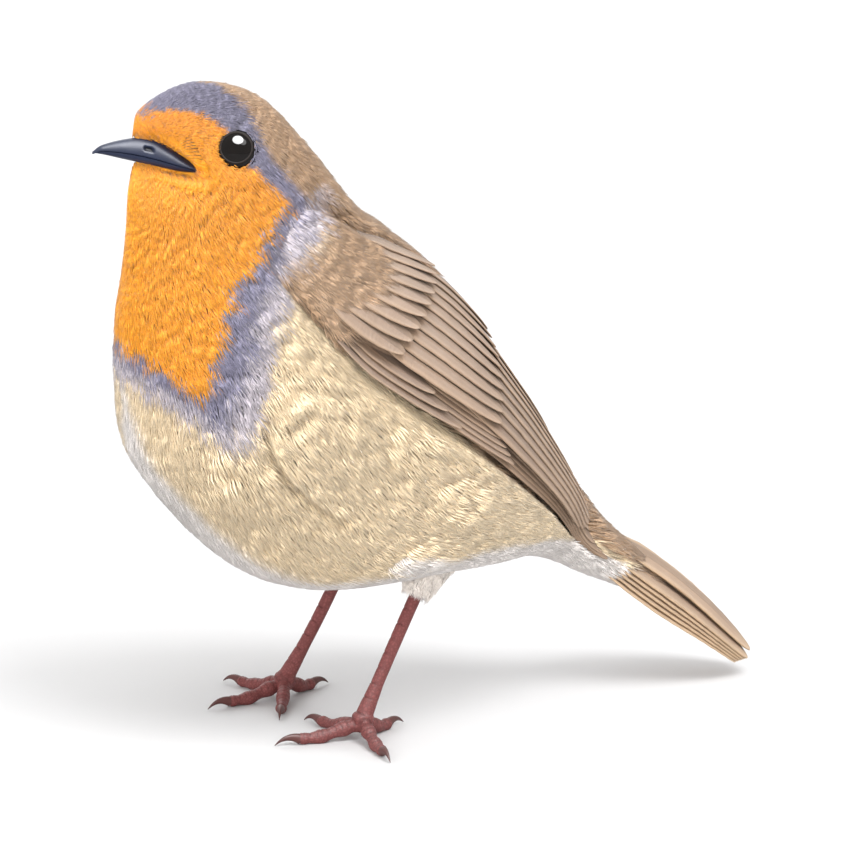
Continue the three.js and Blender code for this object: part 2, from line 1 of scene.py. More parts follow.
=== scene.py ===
"""A European robin, life-size, dressed around its solids: one skin under a coat of small feathers,
wings and tail of overlapping vanes, bill, eyes with lids, scaled legs and claws.

The body is described in millimetres in the bird's own frame (it faces -X, its left side faces -Y),
and every piece is moved to the shared frame and to metres when its mesh is made."""
import math

import bpy
import numpy as np
from mathutils import Matrix, Vector
from mathutils.kdtree import KDTree


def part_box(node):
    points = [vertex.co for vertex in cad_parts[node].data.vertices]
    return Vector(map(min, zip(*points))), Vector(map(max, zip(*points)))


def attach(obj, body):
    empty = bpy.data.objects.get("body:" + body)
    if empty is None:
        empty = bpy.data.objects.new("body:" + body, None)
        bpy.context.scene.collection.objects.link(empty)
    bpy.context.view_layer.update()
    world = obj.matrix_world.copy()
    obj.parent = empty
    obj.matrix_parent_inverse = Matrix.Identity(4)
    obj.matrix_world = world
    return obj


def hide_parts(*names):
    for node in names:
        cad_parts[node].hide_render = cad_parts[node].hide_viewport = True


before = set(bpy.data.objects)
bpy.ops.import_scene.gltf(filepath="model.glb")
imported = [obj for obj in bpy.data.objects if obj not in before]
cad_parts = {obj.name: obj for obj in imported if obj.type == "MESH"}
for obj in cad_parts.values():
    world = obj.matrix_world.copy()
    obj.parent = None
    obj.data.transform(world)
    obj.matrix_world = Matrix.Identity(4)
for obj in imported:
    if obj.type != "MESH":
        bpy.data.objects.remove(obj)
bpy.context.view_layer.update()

MM = 0.001
SEED = 1852
TURN = 2 * math.pi
SIDES = {1: "left", -1: "right"}

# ---- the body's named sizes, in millimetres

# Stations from the bill's root to the tail's root: the ends of a section in the middle plane as (x, z),
# its half width, and how far its flanks lie behind the line between its ends.
STATIONS = {
    "bill root": ((-29.6, 86.4), (-29.6, 81.4), 2.0, 2.4),
    "forehead": ((-28.2, 89.9), (-30.3, 78.0), 4.8, 4.2),
    "crown": ((-21.0, 93.2), (-30.7, 72.0), 7.6, 2.8),
    "hind crown": ((-12.3, 91.4), (-31.4, 66.0), 9.8, 1.2),
    "nape": ((-5.3, 84.5), (-32.4, 59.2), 12.0, 0.4),
    "shoulder": ((3.8, 73.2), (-32.2, 50.1), 18.0, 0.0),
    "mantle": ((15.8, 63.2), (-29.0, 37.8), 22.8, 0.0),
    "lower back": ((26.4, 48.6), (-12.8, 22.2), 23.2, 0.0),
    "rump": ((34.6, 35.4), (12.0, 21.9), 16.4, 0.0),
    "tail coverts": ((40.2, 27.4), (27.4, 22.2), 8.4, 0.0),
    "tail root": ((45.4, 22.4), (40.5, 16.8), 4.6, 0.0),
}
LENGTH = 112.0  # the length of the line of sections, for steps along it
EGG = {"head": -0.1, "body": 0.12, "from": 0.3, "to": 0.6}  # how much wider the sections are in front
FULLNESS = 0.045
LORES = {"z": 82.4, "half_height": 6.0, "depth": 0.38, "back": -18.5, "front": -25.0}
MANTLE = {"start": 0.488, "full": 0.508, "fade": 0.53, "end": 0.62, "height": 0.9}  # its fold behind the nape
HEAD = {"turn": math.radians(-10), "axis_x": -12.0, "full": 0.35, "none": 0.55}

EYE = {"along": 0.293, "around": 1.04, "radius": 3.3, "rise": -2.5, "ahead": math.radians(7)}
LID = {"radius": 2.18, "rim": 0.16, "upper_rim": 0.22}
EYE_CLEAR = 2.36  # the coat's feathers end at this distance from an eye's axis

WING = {"start": 0.45, "end": 0.985, "bed": 3.4}
WING_UPPER_EDGE = (34, 18, 13, 18, 70)  # degrees round from the back, from shoulder to tip
WING_LOWER_EDGE = (78, 79, 63, 74, 116)

BILL_SECTIONS = np.array(
    [  # x, level of the mouth line, half width, height above and below it
        (-20.9, 81.3, 4.7, 0.5, 0.5),
        (-23.2, 81.9, 4.0, 1.6, 1.0),
        (-25.0, 82.4, 3.3, 2.4, 1.15),
        (-26.8, 82.9, 2.65, 2.7, 1.15),
        (-29.0, 83.4, 2.0, 2.1, 1.1),
        (-31.6, 83.8, 1.3, 1.35, 0.85),
        (-33.8, 83.95, 0.75, 0.65, 0.45),
        (-35.2, 83.8, 0.22, 0.2, 0.12),
    ]
)
MOUTH = {"front": -22.5, "back": -19.5, "reach": 1.4, "tuck": 0.35}  # the face is pinched beside the bill

TAIL_LINE = np.array([(40.0, 23.6), (51.0, 20.2), (66.0, 3.6)])  # root, bend and tip as (x, z)
TAIL_ROLL = math.radians(25)

LEG = dict(heel_height=28.0, half_hips=10.4, half_stance=12.2, radius=0.92, tuft_end=0.36)
HUB = dict(height=3.0, radius=1.65)  # the ball where the toes meet
FEET = [  # y tells the side, and the toes' headings are in degrees from the middle one
    dict(side="left", y=-1, heel_x=11.8, bow=-0.4, hub_x=-1.2, heading=4, inner=65, outer=90, hallux=143),
    dict(side="right", y=1, heel_x=8.2, bow=1.5, hub_x=-4.0, heading=-10, inner=56, outer=75, hallux=160),
]
TOES = {
    "middle": {"length": 9.5, "radius": 1.04, "claw": 3.2, "pads": 3},
    "inner": {"length": 9.2, "radius": 0.98, "claw": 3.1, "pads": 2},
    "outer": {"length": 9.5, "radius": 1.0, "claw": 3.2, "pads": 3},
    "hallux": {"length": 6.3, "radius": 1.04, "claw": 3.4, "pads": 2},
}

# ---- curves and surfaces


def smooth(x, low, high):
    t = np.clip((np.asarray(x, float) - low) / (high - low), 0.0, 1.0)
    return t * t * (3.0 - 2.0 * t)


def between(pair, share):
    return pair[0] + (pair[1] - pair[0]) * share


def unit(v):
    return v / np.maximum(np.linalg.norm(v, axis=-1, keepdims=True), 1e-12)


def off_back(around):
    """The angle from the middle of the back, 0 to pi on either side."""
    return np.abs(np.arctan2(np.sin(around), np.cos(around)))


def bent(s, start, pull, end):
    """Points of a line from start to end that is bent toward pull, at s from 0 to 1."""
    outer = np.multiply.outer
    s = np.asarray(s, float)
    return outer((1 - s) ** 2, start) + outer(2 * s * (1 - s), pull) + outer(s**2, end)


def distances(points):
    """How far along a line of points each one lies."""
    return np.concatenate([[0], np.cumsum(np.linalg.norm(np.diff(points, axis=0), axis=1))])


def curve(points, clamped=False):
    """A Catmull-Rom curve through points, as a function of 0 to 1 that runs on straight past its ends."""
    p = np.array(points, float)
    p = p[:, None] if p.ndim == 1 else p
    first, last = (p[0], p[-1]) if clamped else (2 * p[0] - p[1], 2 * p[-1] - p[-2])
    p = np.vstack([first, p, last])
    spans = len(points) - 1

    def at(t):
        t = np.asarray(t, float) * spans
        inside = np.clip(t, 0, spans)
        k = np.minimum(inside.astype(int), spans - 1)
        f = (inside - k)[..., None]
        p0, p1, p2, p3 = p[k], p[k + 1], p[k + 2], p[k + 3]
        v0, v1 = (p2 - p0) / 2, (p3 - p1) / 2
        cubic, square = 2 * p1 - 2 * p2 + v0 + v1, -3 * p1 + 3 * p2 - 2 * v0 - v1
        value = ((cubic * f + square) * f + v0) * f + p1
        slope = (3 * cubic * f + 2 * square) * f + v0
        return value + slope * (t - inside)[..., None]

    return at


back_line = curve([s[0] for s in STATIONS.values()])
front_line = curve([s[1] for s in STATIONS.values()])
flank_line = curve([(s[3], s[2]) for s in STATIONS.values()])
upper_edge = curve(np.radians(WING_UPPER_EDGE), clamped=True)
lower_edge = curve(np.radians(WING_LOWER_EDGE), clamped=True)


def turned(points, share=1.0):
    """Turns points with the head; share is 1 on the head and 0 on the torso."""
    angle = HEAD["turn"] * np.asarray(share)
    c, s = np.cos(angle), np.sin(angle)
    x, y = points[..., 0] - HEAD["axis_x"], points[..., 1]
    return np.stack([HEAD["axis_x"] + x * c - y * s, x * s + y * c, points[..., 2]], -1)


def bill_section(x):
    """The bill's mouth line, half width and heights above and below that line."""
    return (np.interp(-x, -BILL_SECTIONS[:, 0], BILL_SECTIONS[:, k]) for k in range(1, 5))


def beside_bill(x, y, z, lift):
    """The width of the face where it is pinched in, so that the bill stands out of it back to the gape."""
    mouth, half, above, below = bill_section(x)
    outside = np.maximum(z - mouth - above, mouth - below - z)
    near = (1 - smooth(outside, 0.0, MOUTH["reach"])) * (1 - smooth(x, MOUTH["front"], MOUTH["back"]))
    level = np.clip(np.where(z > mouth, (z - mouth) / above, (mouth - z) / below), 0, 0.7)
    cover = np.maximum(half * np.sqrt(1 - 0.8 * level**2) - MOUTH["tuck"] + np.minimum(lift, 0), 0.2)
    return y - np.sign(y) * np.maximum(np.abs(y) - cover, 0) * near


def mantle_fold(along, around):
    """How far the mantle's feathers stand up where they begin."""
    lengthwise = smooth(along, MANTLE["start"], MANTLE["full"])
    lengthwise = lengthwise * (1 - smooth(along, MANTLE["fade"], MANTLE["end"]))
    return MANTLE["height"] * lengthwise * (1 - smooth(off_back(around), 0.6, 1.2))


def plumage(along, around, lift=0.0):
    """Points of the plumage's outline: along runs 0 to 1 from bill to tail, around 0 at the back to pi at
    the front, positive on the bird's left; lift stands them off the surface."""
    along, around, lift = np.broadcast_arrays(np.asarray(along, float), around, lift)
    back, front, flank = back_line(along), front_line(along), flank_line(along)
    bow, half = flank[..., 0], np.maximum(flank[..., 1], 0.4)
    middle, axis = (back + front) / 2, (back - front) / 2
    depth = np.linalg.norm(axis, axis=-1)
    axis = axis / depth[..., None]
    c, s = np.cos(around), np.sin(around)
    egg = between((EGG["head"], EGG["body"]), smooth(along, EGG["from"], EGG["to"]))
    width = half * (1 - egg * c)
    full = 1 + FULLNESS * np.sin(2 * around) ** 2
    out_x, out_y = c * width, s * depth
    scale = (lift + mantle_fold(along, around)) / np.hypot(out_x, out_y)
    level = depth * c * full + out_x * scale
    x = middle[..., 0] + axis[..., 0] * level + axis[..., 1] * bow * s * s
    z = middle[..., 1] + axis[..., 1] * level - axis[..., 0] * bow * s * s
    near = np.minimum(1, np.abs(z - LORES["z"]) / LORES["half_height"])
    narrow = LORES["depth"] * (1 - near**2) ** 2 * (1 - smooth(x, LORES["front"], LORES["back"]))
    y = beside_bill(x, -(width * s * full + out_y * scale) * (1 - narrow), z, lift)
    return turned(np.stack([x, y, z], -1), 1 - smooth(along, HEAD["full"], HEAD["none"]))


def wing_edges(u):
    inside = np.clip(u, 0, 1)
    return upper_edge(inside)[..., 0], lower_edge(inside)[..., 0]


def wing_place(along, around):
    """The wing's u and v under a point of the body."""
    u = (along - WING["start"]) / (WING["end"] - WING["start"])
    top, bottom = wing_edges(u)
    return u, (off_back(around) - top) / (bottom - top)


def bed_depth(along, around):
    """How deep the plumage is pressed in where a folded wing lies on it."""
    u, v = wing_place(along, around)
    lengthwise = smooth(u, -0.08, 0.05) * (1 - 0.5 * smooth(u, 0.7, 0.95) - 0.5 * smooth(u, 1.0, 1.05))
    return WING["bed"] * lengthwise * smooth(v, -0.12, 0.06) * (1 - smooth(v, 0.94, 1.12))


def body(along, around, lift=0.0):
    return plumage(along, around, lift - bed_depth(along, around))


def wing_surface(side):
    """Points over a folded wing, side being 1 on the left and -1 on the right: u runs from shoulder to tip,
    v from its upper to its lower edge."""

    def at(u, v, lift):
        return plumage(between((WING["start"], WING["end"]), u), side * between(wing_edges(u), v), lift)

    return at


def frame_at(surface, a, b, step=0.004):
    """Lengths in millimetres of a unit step along and around a surface, and its outward normal."""
    da = (surface(a + step, b, 0.0) - surface(a - step, b, 0.0)) / (2 * step)
    db = (surface(a, b + step, 0.0) - surface(a, b - step, 0.0)) / (2 * step)
    normal = unit(np.cross(db, da))
    away = surface(a, b, 0.5) - surface(a, b, 0.0)
    flip = np.where((normal * away).sum(-1) < 0, -1.0, 1.0)
    return np.linalg.norm(da, axis=-1), np.linalg.norm(db, axis=-1), normal * flip[..., None]


# ---- the shared frame


def eye_place(side):
    """The middle of an eye and the direction that it looks in, in the bird's own frame."""
    a, b = EYE["along"], side * EYE["around"]
    lengthwise = body(a + 0.02, b) - body(a - 0.02, b)
    crosswise = body(a, b + 0.1) - body(a, b - 0.1)
    out = unit(np.cross(crosswise, lengthwise))
    turn = -side * EYE["ahead"]
    c, s = math.cos(turn), math.sin(turn)
    out = np.array([out[0] * c - out[1] * s, out[0] * s + out[1] * c, out[2]])
    return body(a, b) + out * EYE["rise"], out


# The solids are centred on their footprint: an eye's node tells by how much.
low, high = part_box("eye_left")
SHIFT = np.array((low + high) / 2) / MM - eye_place(1)[0]
SHIFT[2] = 0.0


def placed(points):
    return (np.asarray(points, float) + SHIFT) * MM


# ---- colours


def srgb(code):
    values = [int(code[i : i + 2], 16) / 255 for i in (1, 3, 5)]
    return np.array([v / 12.92 if v <= 0.04045 else ((v + 0.055) / 1.055) ** 2.4 for v in values])


ORANGE, GREY, PALE, BROWN = srgb("#FFAD2C"), srgb("#928EA6"), srgb("#D0C7CE"), srgb("#C5A382")
BUFF, WHITE = srgb("#F8E2BE"), srgb("#F6EFEA")
WING_BROWN, WING_FRINGE, FLIGHT_BROWN = srgb("#91765F"), srgb("#AE9177"), srgb("#806651")
TAIL_BROWN, TAIL_FRINGE = srgb("#A5866A"), srgb("#C8AA88")
BILL_COLOUR, BRISTLE_COLOUR, LID_COLOUR = srgb("#222A42"), srgb("#2A211E"), srgb("#1E1613")
LEG_COLOUR, CLAW_COLOUR = srgb("#74403E"), srgb("#5A3835")


def edge_profile(pairs):
    xs, ys = zip(*pairs)
    return lambda t: np.interp(t, xs, ys)


# The orange bib: how far down the body it reaches, against degrees round from the back, and its upper edge
# over brow and ear, in degrees, against the distance along the body.
bib_end = edge_profile(
    [(45, 0.42), (60, 0.425), (72, 0.432), (82, 0.441), (95, 0.445), (105, 0.464), (111, 0.483), (123, 0.512)]
    + [(130, 0.528), (134, 0.505), (142, 0.48), (150, 0.458), (160, 0.442), (170, 0.434), (180, 0.432)]
)
bib_top = edge_profile(
    [(0.0, -30), (0.07, -14), (0.095, 6), (0.115, 28), (0.17, 42), (0.22, 48), (0.27, 53), (0.33, 62)]
    + [(0.38, 58), (0.43, 54)]
)
# The brown of crown and nape, and the whitish belly, in degrees from the back.
brown_edge = edge_profile(
    [(0.2, -8), (0.23, 6), (0.25, 20), (0.28, 29), (0.305, 38), (0.335, 46), (0.38, 49), (0.43, 47)]
    + [(0.45, 44), (0.48, 52), (0.52, 64), (0.6, 66), (0.8, 64), (0.95, 62), (1.0, 70)]
)
white_edge = edge_profile(
    [(0.5, 178), (0.56, 170), (0.61, 162), (0.667, 154), (0.7, 146), (0.74, 126), (0.794, 104), (0.85, 93)]
    + [(1.0, 88)]
)
THIGH_PATCH = {"along": 0.742, "angle": 119.0, "long": 0.024, "wide": 9.0}
THIGH = {"along": 0.6205, "angle": 103.75, "radius": 6.7, "puff": 0.6, "crease": 1.2}
RUFFLES = ((0.728, 85, 4.0), (0.672, 83, 3.5), (0.62, 135, 5.0), (0.74, 112, 4.0))  # along, degrees, radius
FLANK_DEGREE, HEAD_DEGREE = 0.4, 0.17  # millimetres to a degree round flanks and head
BIB_BLUR, BROWN_BLUR, WHITE_BLUR = 0.35, 3, 7  # half the width of these borders: millimetres, then degrees


def from_place(along, around, place_along, place_angle):
    """Millimetres along and round the flank from a place on either side of the body."""
    return (along - place_along) * LENGTH, (np.degrees(off_back(around)) - place_angle) * FLANK_DEGREE


def thigh_relief(along, around):
    """The thigh's low swelling on the flank, with a crease in front of it and below it."""
    x, y = from_place(along, around, THIGH["along"], THIGH["angle"])
    reach = np.hypot(x, y)
    r = reach / THIGH["radius"]
    faced = smooth((y - x) / np.maximum(reach, 0.1), -0.5, 0.5)
    puff = THIGH["puff"] * smooth(r, 0.1, 0.8) * (1 - smooth(r, 0.85, 1.0))
    return faced * (puff - THIGH["crease"] * np.exp(-(((r - 1.02) / 0.1) ** 2)))


def ruffled(along, around):
    """1 where single feathers stand out from the coat, 0 elsewhere."""
    share = np.zeros(np.shape(along))
    for place_along, angle, radius in RUFFLES:
        reach = np.hypot(*from_place(along, around, place_along, angle))
        share = np.maximum(share, 1 - smooth(reach, radius * 0.5, radius))
    return share


def thigh_patch(along, around):
    """1 in the middle of the whitish tuft where a leg leaves the belly, 0 outside it."""
    lengthwise = (along - THIGH_PATCH["along"]) / THIGH_PATCH["long"]
    crosswise = (np.degrees(off_back(around)) - THIGH_PATCH["angle"]) / THIGH_PATCH["wide"]
    return 1 - smooth(np.hypot(lengthwise, crosswise), 0.5, 1.0)


def mix(a, b, share):
    return a + (b - a) * share[..., None]


def markings(along, around):
    """The plumage's colour at points of the body."""
    angle = np.degrees(off_back(around))
    beyond = (along - bib_end(angle)) * LENGTH  # millimetres past the bib's end
    above = (bib_top(np.minimum(along, 0.43)) - angle) * HEAD_DEGREE  # and above its upper edge
    outside = np.maximum(beyond, above)
    bib = 1 - smooth(outside, -BIB_BLUR, BIB_BLUR)
    brown = smooth(brown_edge(along) - angle, -BROWN_BLUR, BROWN_BLUR)
    white = smooth(angle - white_edge(along), -WHITE_BLUR, WHITE_BLUR)
    fringe = 5.2 + 3.8 * smooth(angle, 70, 115) - 2.6 * smooth(angle, 118, 135)  # the bib's pale surround
    band = 0.52 * fringe  # and the grey next to it
    grey = 1 - smooth(outside, band - 1.2, band + 0.8)
    grey = np.maximum(grey, smooth(above, 0.0, 0.3) * (1 - smooth(along, 0.4, 0.45)))
    pale = 1 - smooth(outside, fringe - 1.2, fringe + 0.9)
    on_head = 1 - smooth(along, 0.3, 0.42)
    # between head and mantle the brown stays on the back and leaves the neck's sides pale
    nape = np.where(along < 0.44, 1.0, smooth(along, 0.44, 0.47))
    crown = brown * np.maximum(nape, 1 - smooth(angle, 24, 40))
    brow = (1 - smooth(angle, 45, 80)) * on_head

    colour = np.broadcast_to(BUFF, along.shape + (3,))
    colour = mix(colour, WHITE, np.maximum(white, thigh_patch(along, around)))
    colour = mix(colour, PALE, pale)
    colour = mix(colour, GREY * (1 - 0.2 * on_head)[..., None], grey)
    colour = mix(colour, BROWN, crown)
    return mix(colour, ORANGE * (1 - brow[..., None] * np.array([0.1, 0.18, 0.3])), bib)


# ---- meshes


def linked(name, data):
    thing = bpy.data.objects.new(name, data)
    bpy.context.scene.collection.objects.link(thing)
    return thing


def mesh_piece(name, verts, tris, material, uv=None, tint=None, coords=None):
    """A triangle mesh riding on the body. uv, tint and coords are given for each vertex."""
    mesh = bpy.data.meshes.new(name)
    tris = np.ascontiguousarray(tris, np.int32)
    mesh.vertices.add(len(verts))
    mesh.loops.add(tris.size)
    mesh.loops.foreach_set("vertex_index", tris.ravel())
    mesh.polygons.add(len(tris))
    mesh.polygons.foreach_set("loop_start", np.arange(0, tris.size, 3, dtype=np.int32))
    mesh.polygons.foreach_set("use_smooth", np.ones(len(tris), bool))
    set_points(mesh, verts)
    mesh.update(calc_edges=True)
    for layer_name, values in (("OFBake", uv), ("Vane", coords)):
        if values is not None:
            layer = mesh.uv_layers.new(name=layer_name)
            layer.uv.foreach_set("vector", np.asarray(values, np.float32)[tris.ravel()].ravel())
    if tint is not None:
        set_tint(mesh, tint)
    mesh.validate()
    piece = linked(name, mesh)
    mesh.materials.append(material)
    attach(piece, "root")
    return piece


def set_points(mesh, points):
    mesh.vertices.foreach_set("co", placed(points).astype(np.float32).ravel())
    mesh.update()


def set_tint(mesh, tint):
    layer = mesh.color_attributes.new(name="tint", type="FLOAT_COLOR", domain="POINT")
    rgba = np.ones((len(mesh.vertices), 4), np.float32)
    rgba[:, :3] = tint
    layer.data.foreach_set("color", rgba.ravel())


def remeshed(piece, voxel):
    """Joins a piece's parts into one surface of small squares. Gives its points, in the bird's own frame,
    and their normals."""
    remesh = piece.modifiers.new("one_surface", "REMESH")
    remesh.mode = "VOXEL"
    remesh.voxel_size = voxel
    remesh.use_smooth_shade = True
    evaluated = piece.evaluated_get(bpy.context.evaluated_depsgraph_get())
    mesh = bpy.data.meshes.new_from_object(evaluated)
    material = piece.data.materials[0]
    piece.modifiers.clear()
    piece.data = mesh
    mesh.materials.clear()
    mesh.materials.append(material)
    points, normals = np.empty((2, len(mesh.vertices), 3), np.float32)
    mesh.vertices.foreach_get("co", points.ravel())
    mesh.vertices.foreach_get("normal", normals.ravel())
    return points / MM - SHIFT, normals


def nearest_of(points, places):
    """For each point, the number of the nearest place."""
    tree = KDTree(len(places))
    for k, place in enumerate(places):
        tree.insert(place, k)
    tree.balance()
    return np.array([tree.find(point)[1] for point in points])


def outward(verts, faces):
    """The faces turned so that they face out."""
    p, q, r = (verts[faces[:, k]] for k in range(3))
    return faces[:, ::-1] if (p * np.cross(q, r)).sum() < 0 else faces


def tube_faces(rings, sides, closed=False):
    """Triangles of a tube of rings of equal count: closed to a loop, or else with an apex at each end, the
    two apexes following the rings' vertices."""
    i, j = np.meshgrid(np.arange(rings if closed else rings - 1), np.arange(sides), indexing="ij")
    beside, ahead = (j + 1) % sides, (i + 1) % rings
    a, b = i * sides + j, i * sides + beside
    c, d = ahead * sides + beside, ahead * sides + j
    faces = [np.stack([a, b, c], -1).reshape(-1, 3), np.stack([a, c, d], -1).reshape(-1, 3)]
    if not closed:
        j = np.arange(sides)
        beside, last, start = (j + 1) % sides, (rings - 1) * sides, rings * sides
        faces.append(np.stack([beside, j, np.full(sides, start)], -1))
        faces.append(np.stack([last + j, last + beside, np.full(sides, start + 1)], -1))
    return np.concatenate(faces)


def tube(rings, ends=None):
    """Vertices and outward faces of a closed tube; rings is an array (rings, sides, 3)."""
    ends = (rings[0].mean(0), rings[-1].mean(0)) if ends is None else ends
    verts = np.concatenate([rings.reshape(-1, 3), np.array(ends)])
    return verts, outward(verts, tube_faces(*rings.shape[:2]))


def tube_grid(start, end, rings, sides):
    """Places along a tube and angles round it."""
    around = np.linspace(0, TURN, sides, endpoint=False)
    return np.meshgrid(np.linspace(start, end, rings), around, indexing="ij")


def ball(centre, axes, margin, rings, sides):
    """A closed ball on three axes, the last one through its small flats."""
    a, b = tube_grid(margin, math.pi - margin, rings, sides)
    shares = np.stack([np.sin(a) * np.cos(b), np.sin(a) * np.sin(b), np.cos(a)], -1)
    return tube(centre + shares @ np.asarray(axes))


def cross_axes(ahead):
    """Two directions across a line: a level one, and one at right angles to it."""
    across = unit(np.cross([0.0, 0.0, 1.0], ahead))
    return across, np.cross(ahead, across)


def limb_rings(points, radii, sides, flat=1.0):
    """Round sections across a line of points."""
    across, above = cross_axes(unit(np.gradient(points, axis=0)))
    angle = ((np.arange(sides) + 0.5) / sides * TURN)[None, :, None]
    wide = np.cos(angle) * across[:, None] * radii[:, None, None]
    high = np.sin(angle) * above[:, None] * (radii * flat)[:, None, None]
    return points[:, None] + wide + high


def joined(parts):
    """Joins (verts, faces, ...) tuples into one; every further array has a row for each vertex."""
    offsets = np.cumsum([0] + [len(p[0]) for p in parts[:-1]])
    faces = np.concatenate([p[1] + o for p, o in zip(parts, offsets)])
    rest = [np.concatenate([p[k] for p in parts]) for k in range(2, len(parts[0]))]
    return (np.concatenate([p[0] for p in parts]), faces, *rest)


# ---- materials


class Look:
    """A procedural material: its Principled shader, and short ways to put nodes before it."""

    def __init__(self, name, **sockets):
        self.material = bpy.data.materials.new(name)
        self.material.use_nodes = True
        self.shader = self.material.node_tree.nodes["Principled BSDF"]
        self.feed(self.shader, {key.replace("_", " "): value for key, value in sockets.items()})

    def feed(self, node, sockets):
        """Gives a node's sockets their values, or links them to other nodes' outputs."""
        for key, value in sockets.items():
            if isinstance(value, bpy.types.NodeSocket):
                self.material.node_tree.links.new(value, node.inputs[key])
            else:
                node.inputs[key].default_value = value

    def add(self, kind, sockets, output=0, **settings):
        """The output of a new node."""
        node = self.material.node_tree.nodes.new("ShaderNode" + kind)
        for key, value in settings.items():
            setattr(node, key, value)
        self.feed(node, sockets)
        return node.outputs[output]

    def noise(self, scale, detail=4.0, vector=None):
        vector = self.add("TexCoord", {}, "Object") if vector is None else vector
        return self.add("TexNoise", {"Scale": scale, "Detail": detail, "Vector": vector}, "Fac")

    def ranged(self, value, low, high, top=1.0):
        """A value of 0 to top, made to run from low to high."""
        span = {"From Max": top, "To Min": low, "To Max": high}
        return self.add("MapRange", {"Value": value, **span}, "Result")

    def grain(self, scale, low, high):
        return self.ranged(self.noise(scale), low, high)

    def math(self, operation, *values):
        return self.add("Math", dict(enumerate(values)), operation=operation)

    def blend(self, scale, *colours):
        """Two colours in blotches."""
        first, second = ((*colour, 1) for colour in colours)
        return self.add("Mix", {6: first, 7: second, "Factor": self.noise(scale)}, 2, data_type="RGBA")

    def tinted(self, brightness):
        """The piece's own tint, made lighter or darker by a value."""
        tint = self.add("VertexColor", {}, "Color", layer_name="tint")
        return self.add("VectorMath", {0: tint, "Scale": brightness}, operation="SCALE")

    def made(self, colour, roughness, height=None, depth=0.0):
        """The material with its colour, its roughness and bumps of a depth in metres."""
        self.feed(self.shader, {"Base Color": colour, "Roughness": roughness})
        if height:
            bump = self.add("Bump", {"Height": height, "Distance": depth, "Strength": 1.0}, "Normal")
            self.feed(self.shader, {"Normal": bump})
        return self.material


def coat_material():
    look = Look("coat", Specular_IOR_Level=0.25, Sheen_Weight=0.25, Sheen_Roughness=0.5)
    blotches = look.tinted(look.grain(150.0, 0.94, 1.06))
    return look.made(blotches, look.grain(900.0, 0.7, 0.95), look.noise(5200.0, 2.0), 0.00004)


def skin_material():
    look = Look("down", Sheen_Weight=0.2)
    down = look.tinted(look.grain(1500.0, 0.7, 1.0))
    return look.made(down, look.grain(700.0, 0.8, 1.0), look.noise(2600.0, 6.0), 0.0002)


def vane_material(name, barbs_per_mm):
    """Feather vanes: barbs run slanting off the shaft, from the Vane map's millimetres across and along."""
    look = Look(name, Specular_IOR_Level=0.3, Sheen_Weight=0.15)
    place = look.add("UVMap", {}, "UV", uv_map="Vane")
    split = {axis: look.add("SeparateXYZ", {0: place}, axis) for axis in "XY"}
    slanted = look.math("SUBTRACT", split["Y"], look.math("MULTIPLY", look.math("ABSOLUTE", split["X"]), 0.9))
    phase = look.math("MULTIPLY", slanted, TURN * barbs_per_mm)
    wave = look.math("SINE", look.math("ADD", phase, look.grain(1400.0, -2.5, 2.5)))
    tone = look.math("ADD", look.grain(260.0, 0.86, 1.12), look.math("MULTIPLY", wave, 0.07))
    return look.made(look.tinted(tone), look.grain(600.0, 0.5, 0.75), wave, 0.00003)


def horn_material(name, rough_low, rough_high):
    look = Look(name, Specular_IOR_Level=0.22)
    place = look.add("TexCoord", {}, "Object")
    streaks = look.noise(900.0, 3.0, look.add("Mapping", {"Vector": place, "Scale": (0.25, 1.0, 1.0)}))
    tone = look.tinted(look.ranged(streaks, 0.78, 1.2))
    return look.made(tone, look.grain(500.0, rough_low, rough_high), streaks, 0.00003)


def leg_material():
    """Scaled skin: small cells between the scutes, with painted shade darkening the creases."""
    look = Look("leg_skin", Specular_IOR_Level=0.25)
    place = look.add("TexCoord", {}, "Object")
    edge = look.add("TexVoronoi", {"Scale": 2100.0, "Vector": place}, "Distance", feature="DISTANCE_TO_EDGE")
    # painted shade: the cells' edges darken the colour to 75%, and the same value bumps them
    crease = look.ranged(edge, 0.75, 1.12, 0.25)
    tone = look.tinted(look.math("MULTIPLY", crease, look.grain(420.0, 0.88, 1.12)))
    return look.made(tone, look.grain(900.0, 0.5, 0.68), crease, 0.00006)


def eye_material():
    look = Look("eye", IOR=1.4, Specular_IOR_Level=0.3)
    return look.made(look.blend(1300.0, srgb("#050404"), srgb("#120B08")), look.grain(300.0, 0.03, 0.06))


def lid_material():
    """The dull dark skin of the lids."""
    look = Look("lid_skin", Specular_IOR_Level=0.1)
    folds = look.noise(1800.0)
    return look.made(look.tinted(look.ranged(folds, 0.7, 1.2)), look.ranged(folds, 0.6, 0.85), folds, 0.00005)


def floor_material():
    look = Look("floor")
    return look.made(look.blend(9.0, (0.58, 0.58, 0.585), (0.61, 0.61, 0.615)), 0.9)


COAT, DOWN = coat_material(), skin_material()
WING_VANES, TAIL_VANES = vane_material("wing_vanes", 4.2), vane_material("tail_vanes", 3.8)
BILL_HORN, CLAW_HORN = horn_material("bill_horn", 0.42, 0.56), horn_material("claw_horn", 0.4, 0.55)
LEG_SKIN, EYE_GLOSS, LID_SKIN, FLOOR = leg_material(), eye_material(), lid_material(), floor_material()

# ---- skin


def coat_depth(along):
    """How deep the coat of feathers is, in millimetres."""
    face = 0.55 + 0.5 * smooth(along, 0.12, 0.3)
    return face + 0.85 * smooth(along, 0.3, 0.5) - 0.4 * smooth(along, 0.85, 1.0)


def hub_of(foot):
    return np.array([foot["hub_x"], foot["y"] * LEG["half_stance"], HUB["height"]])


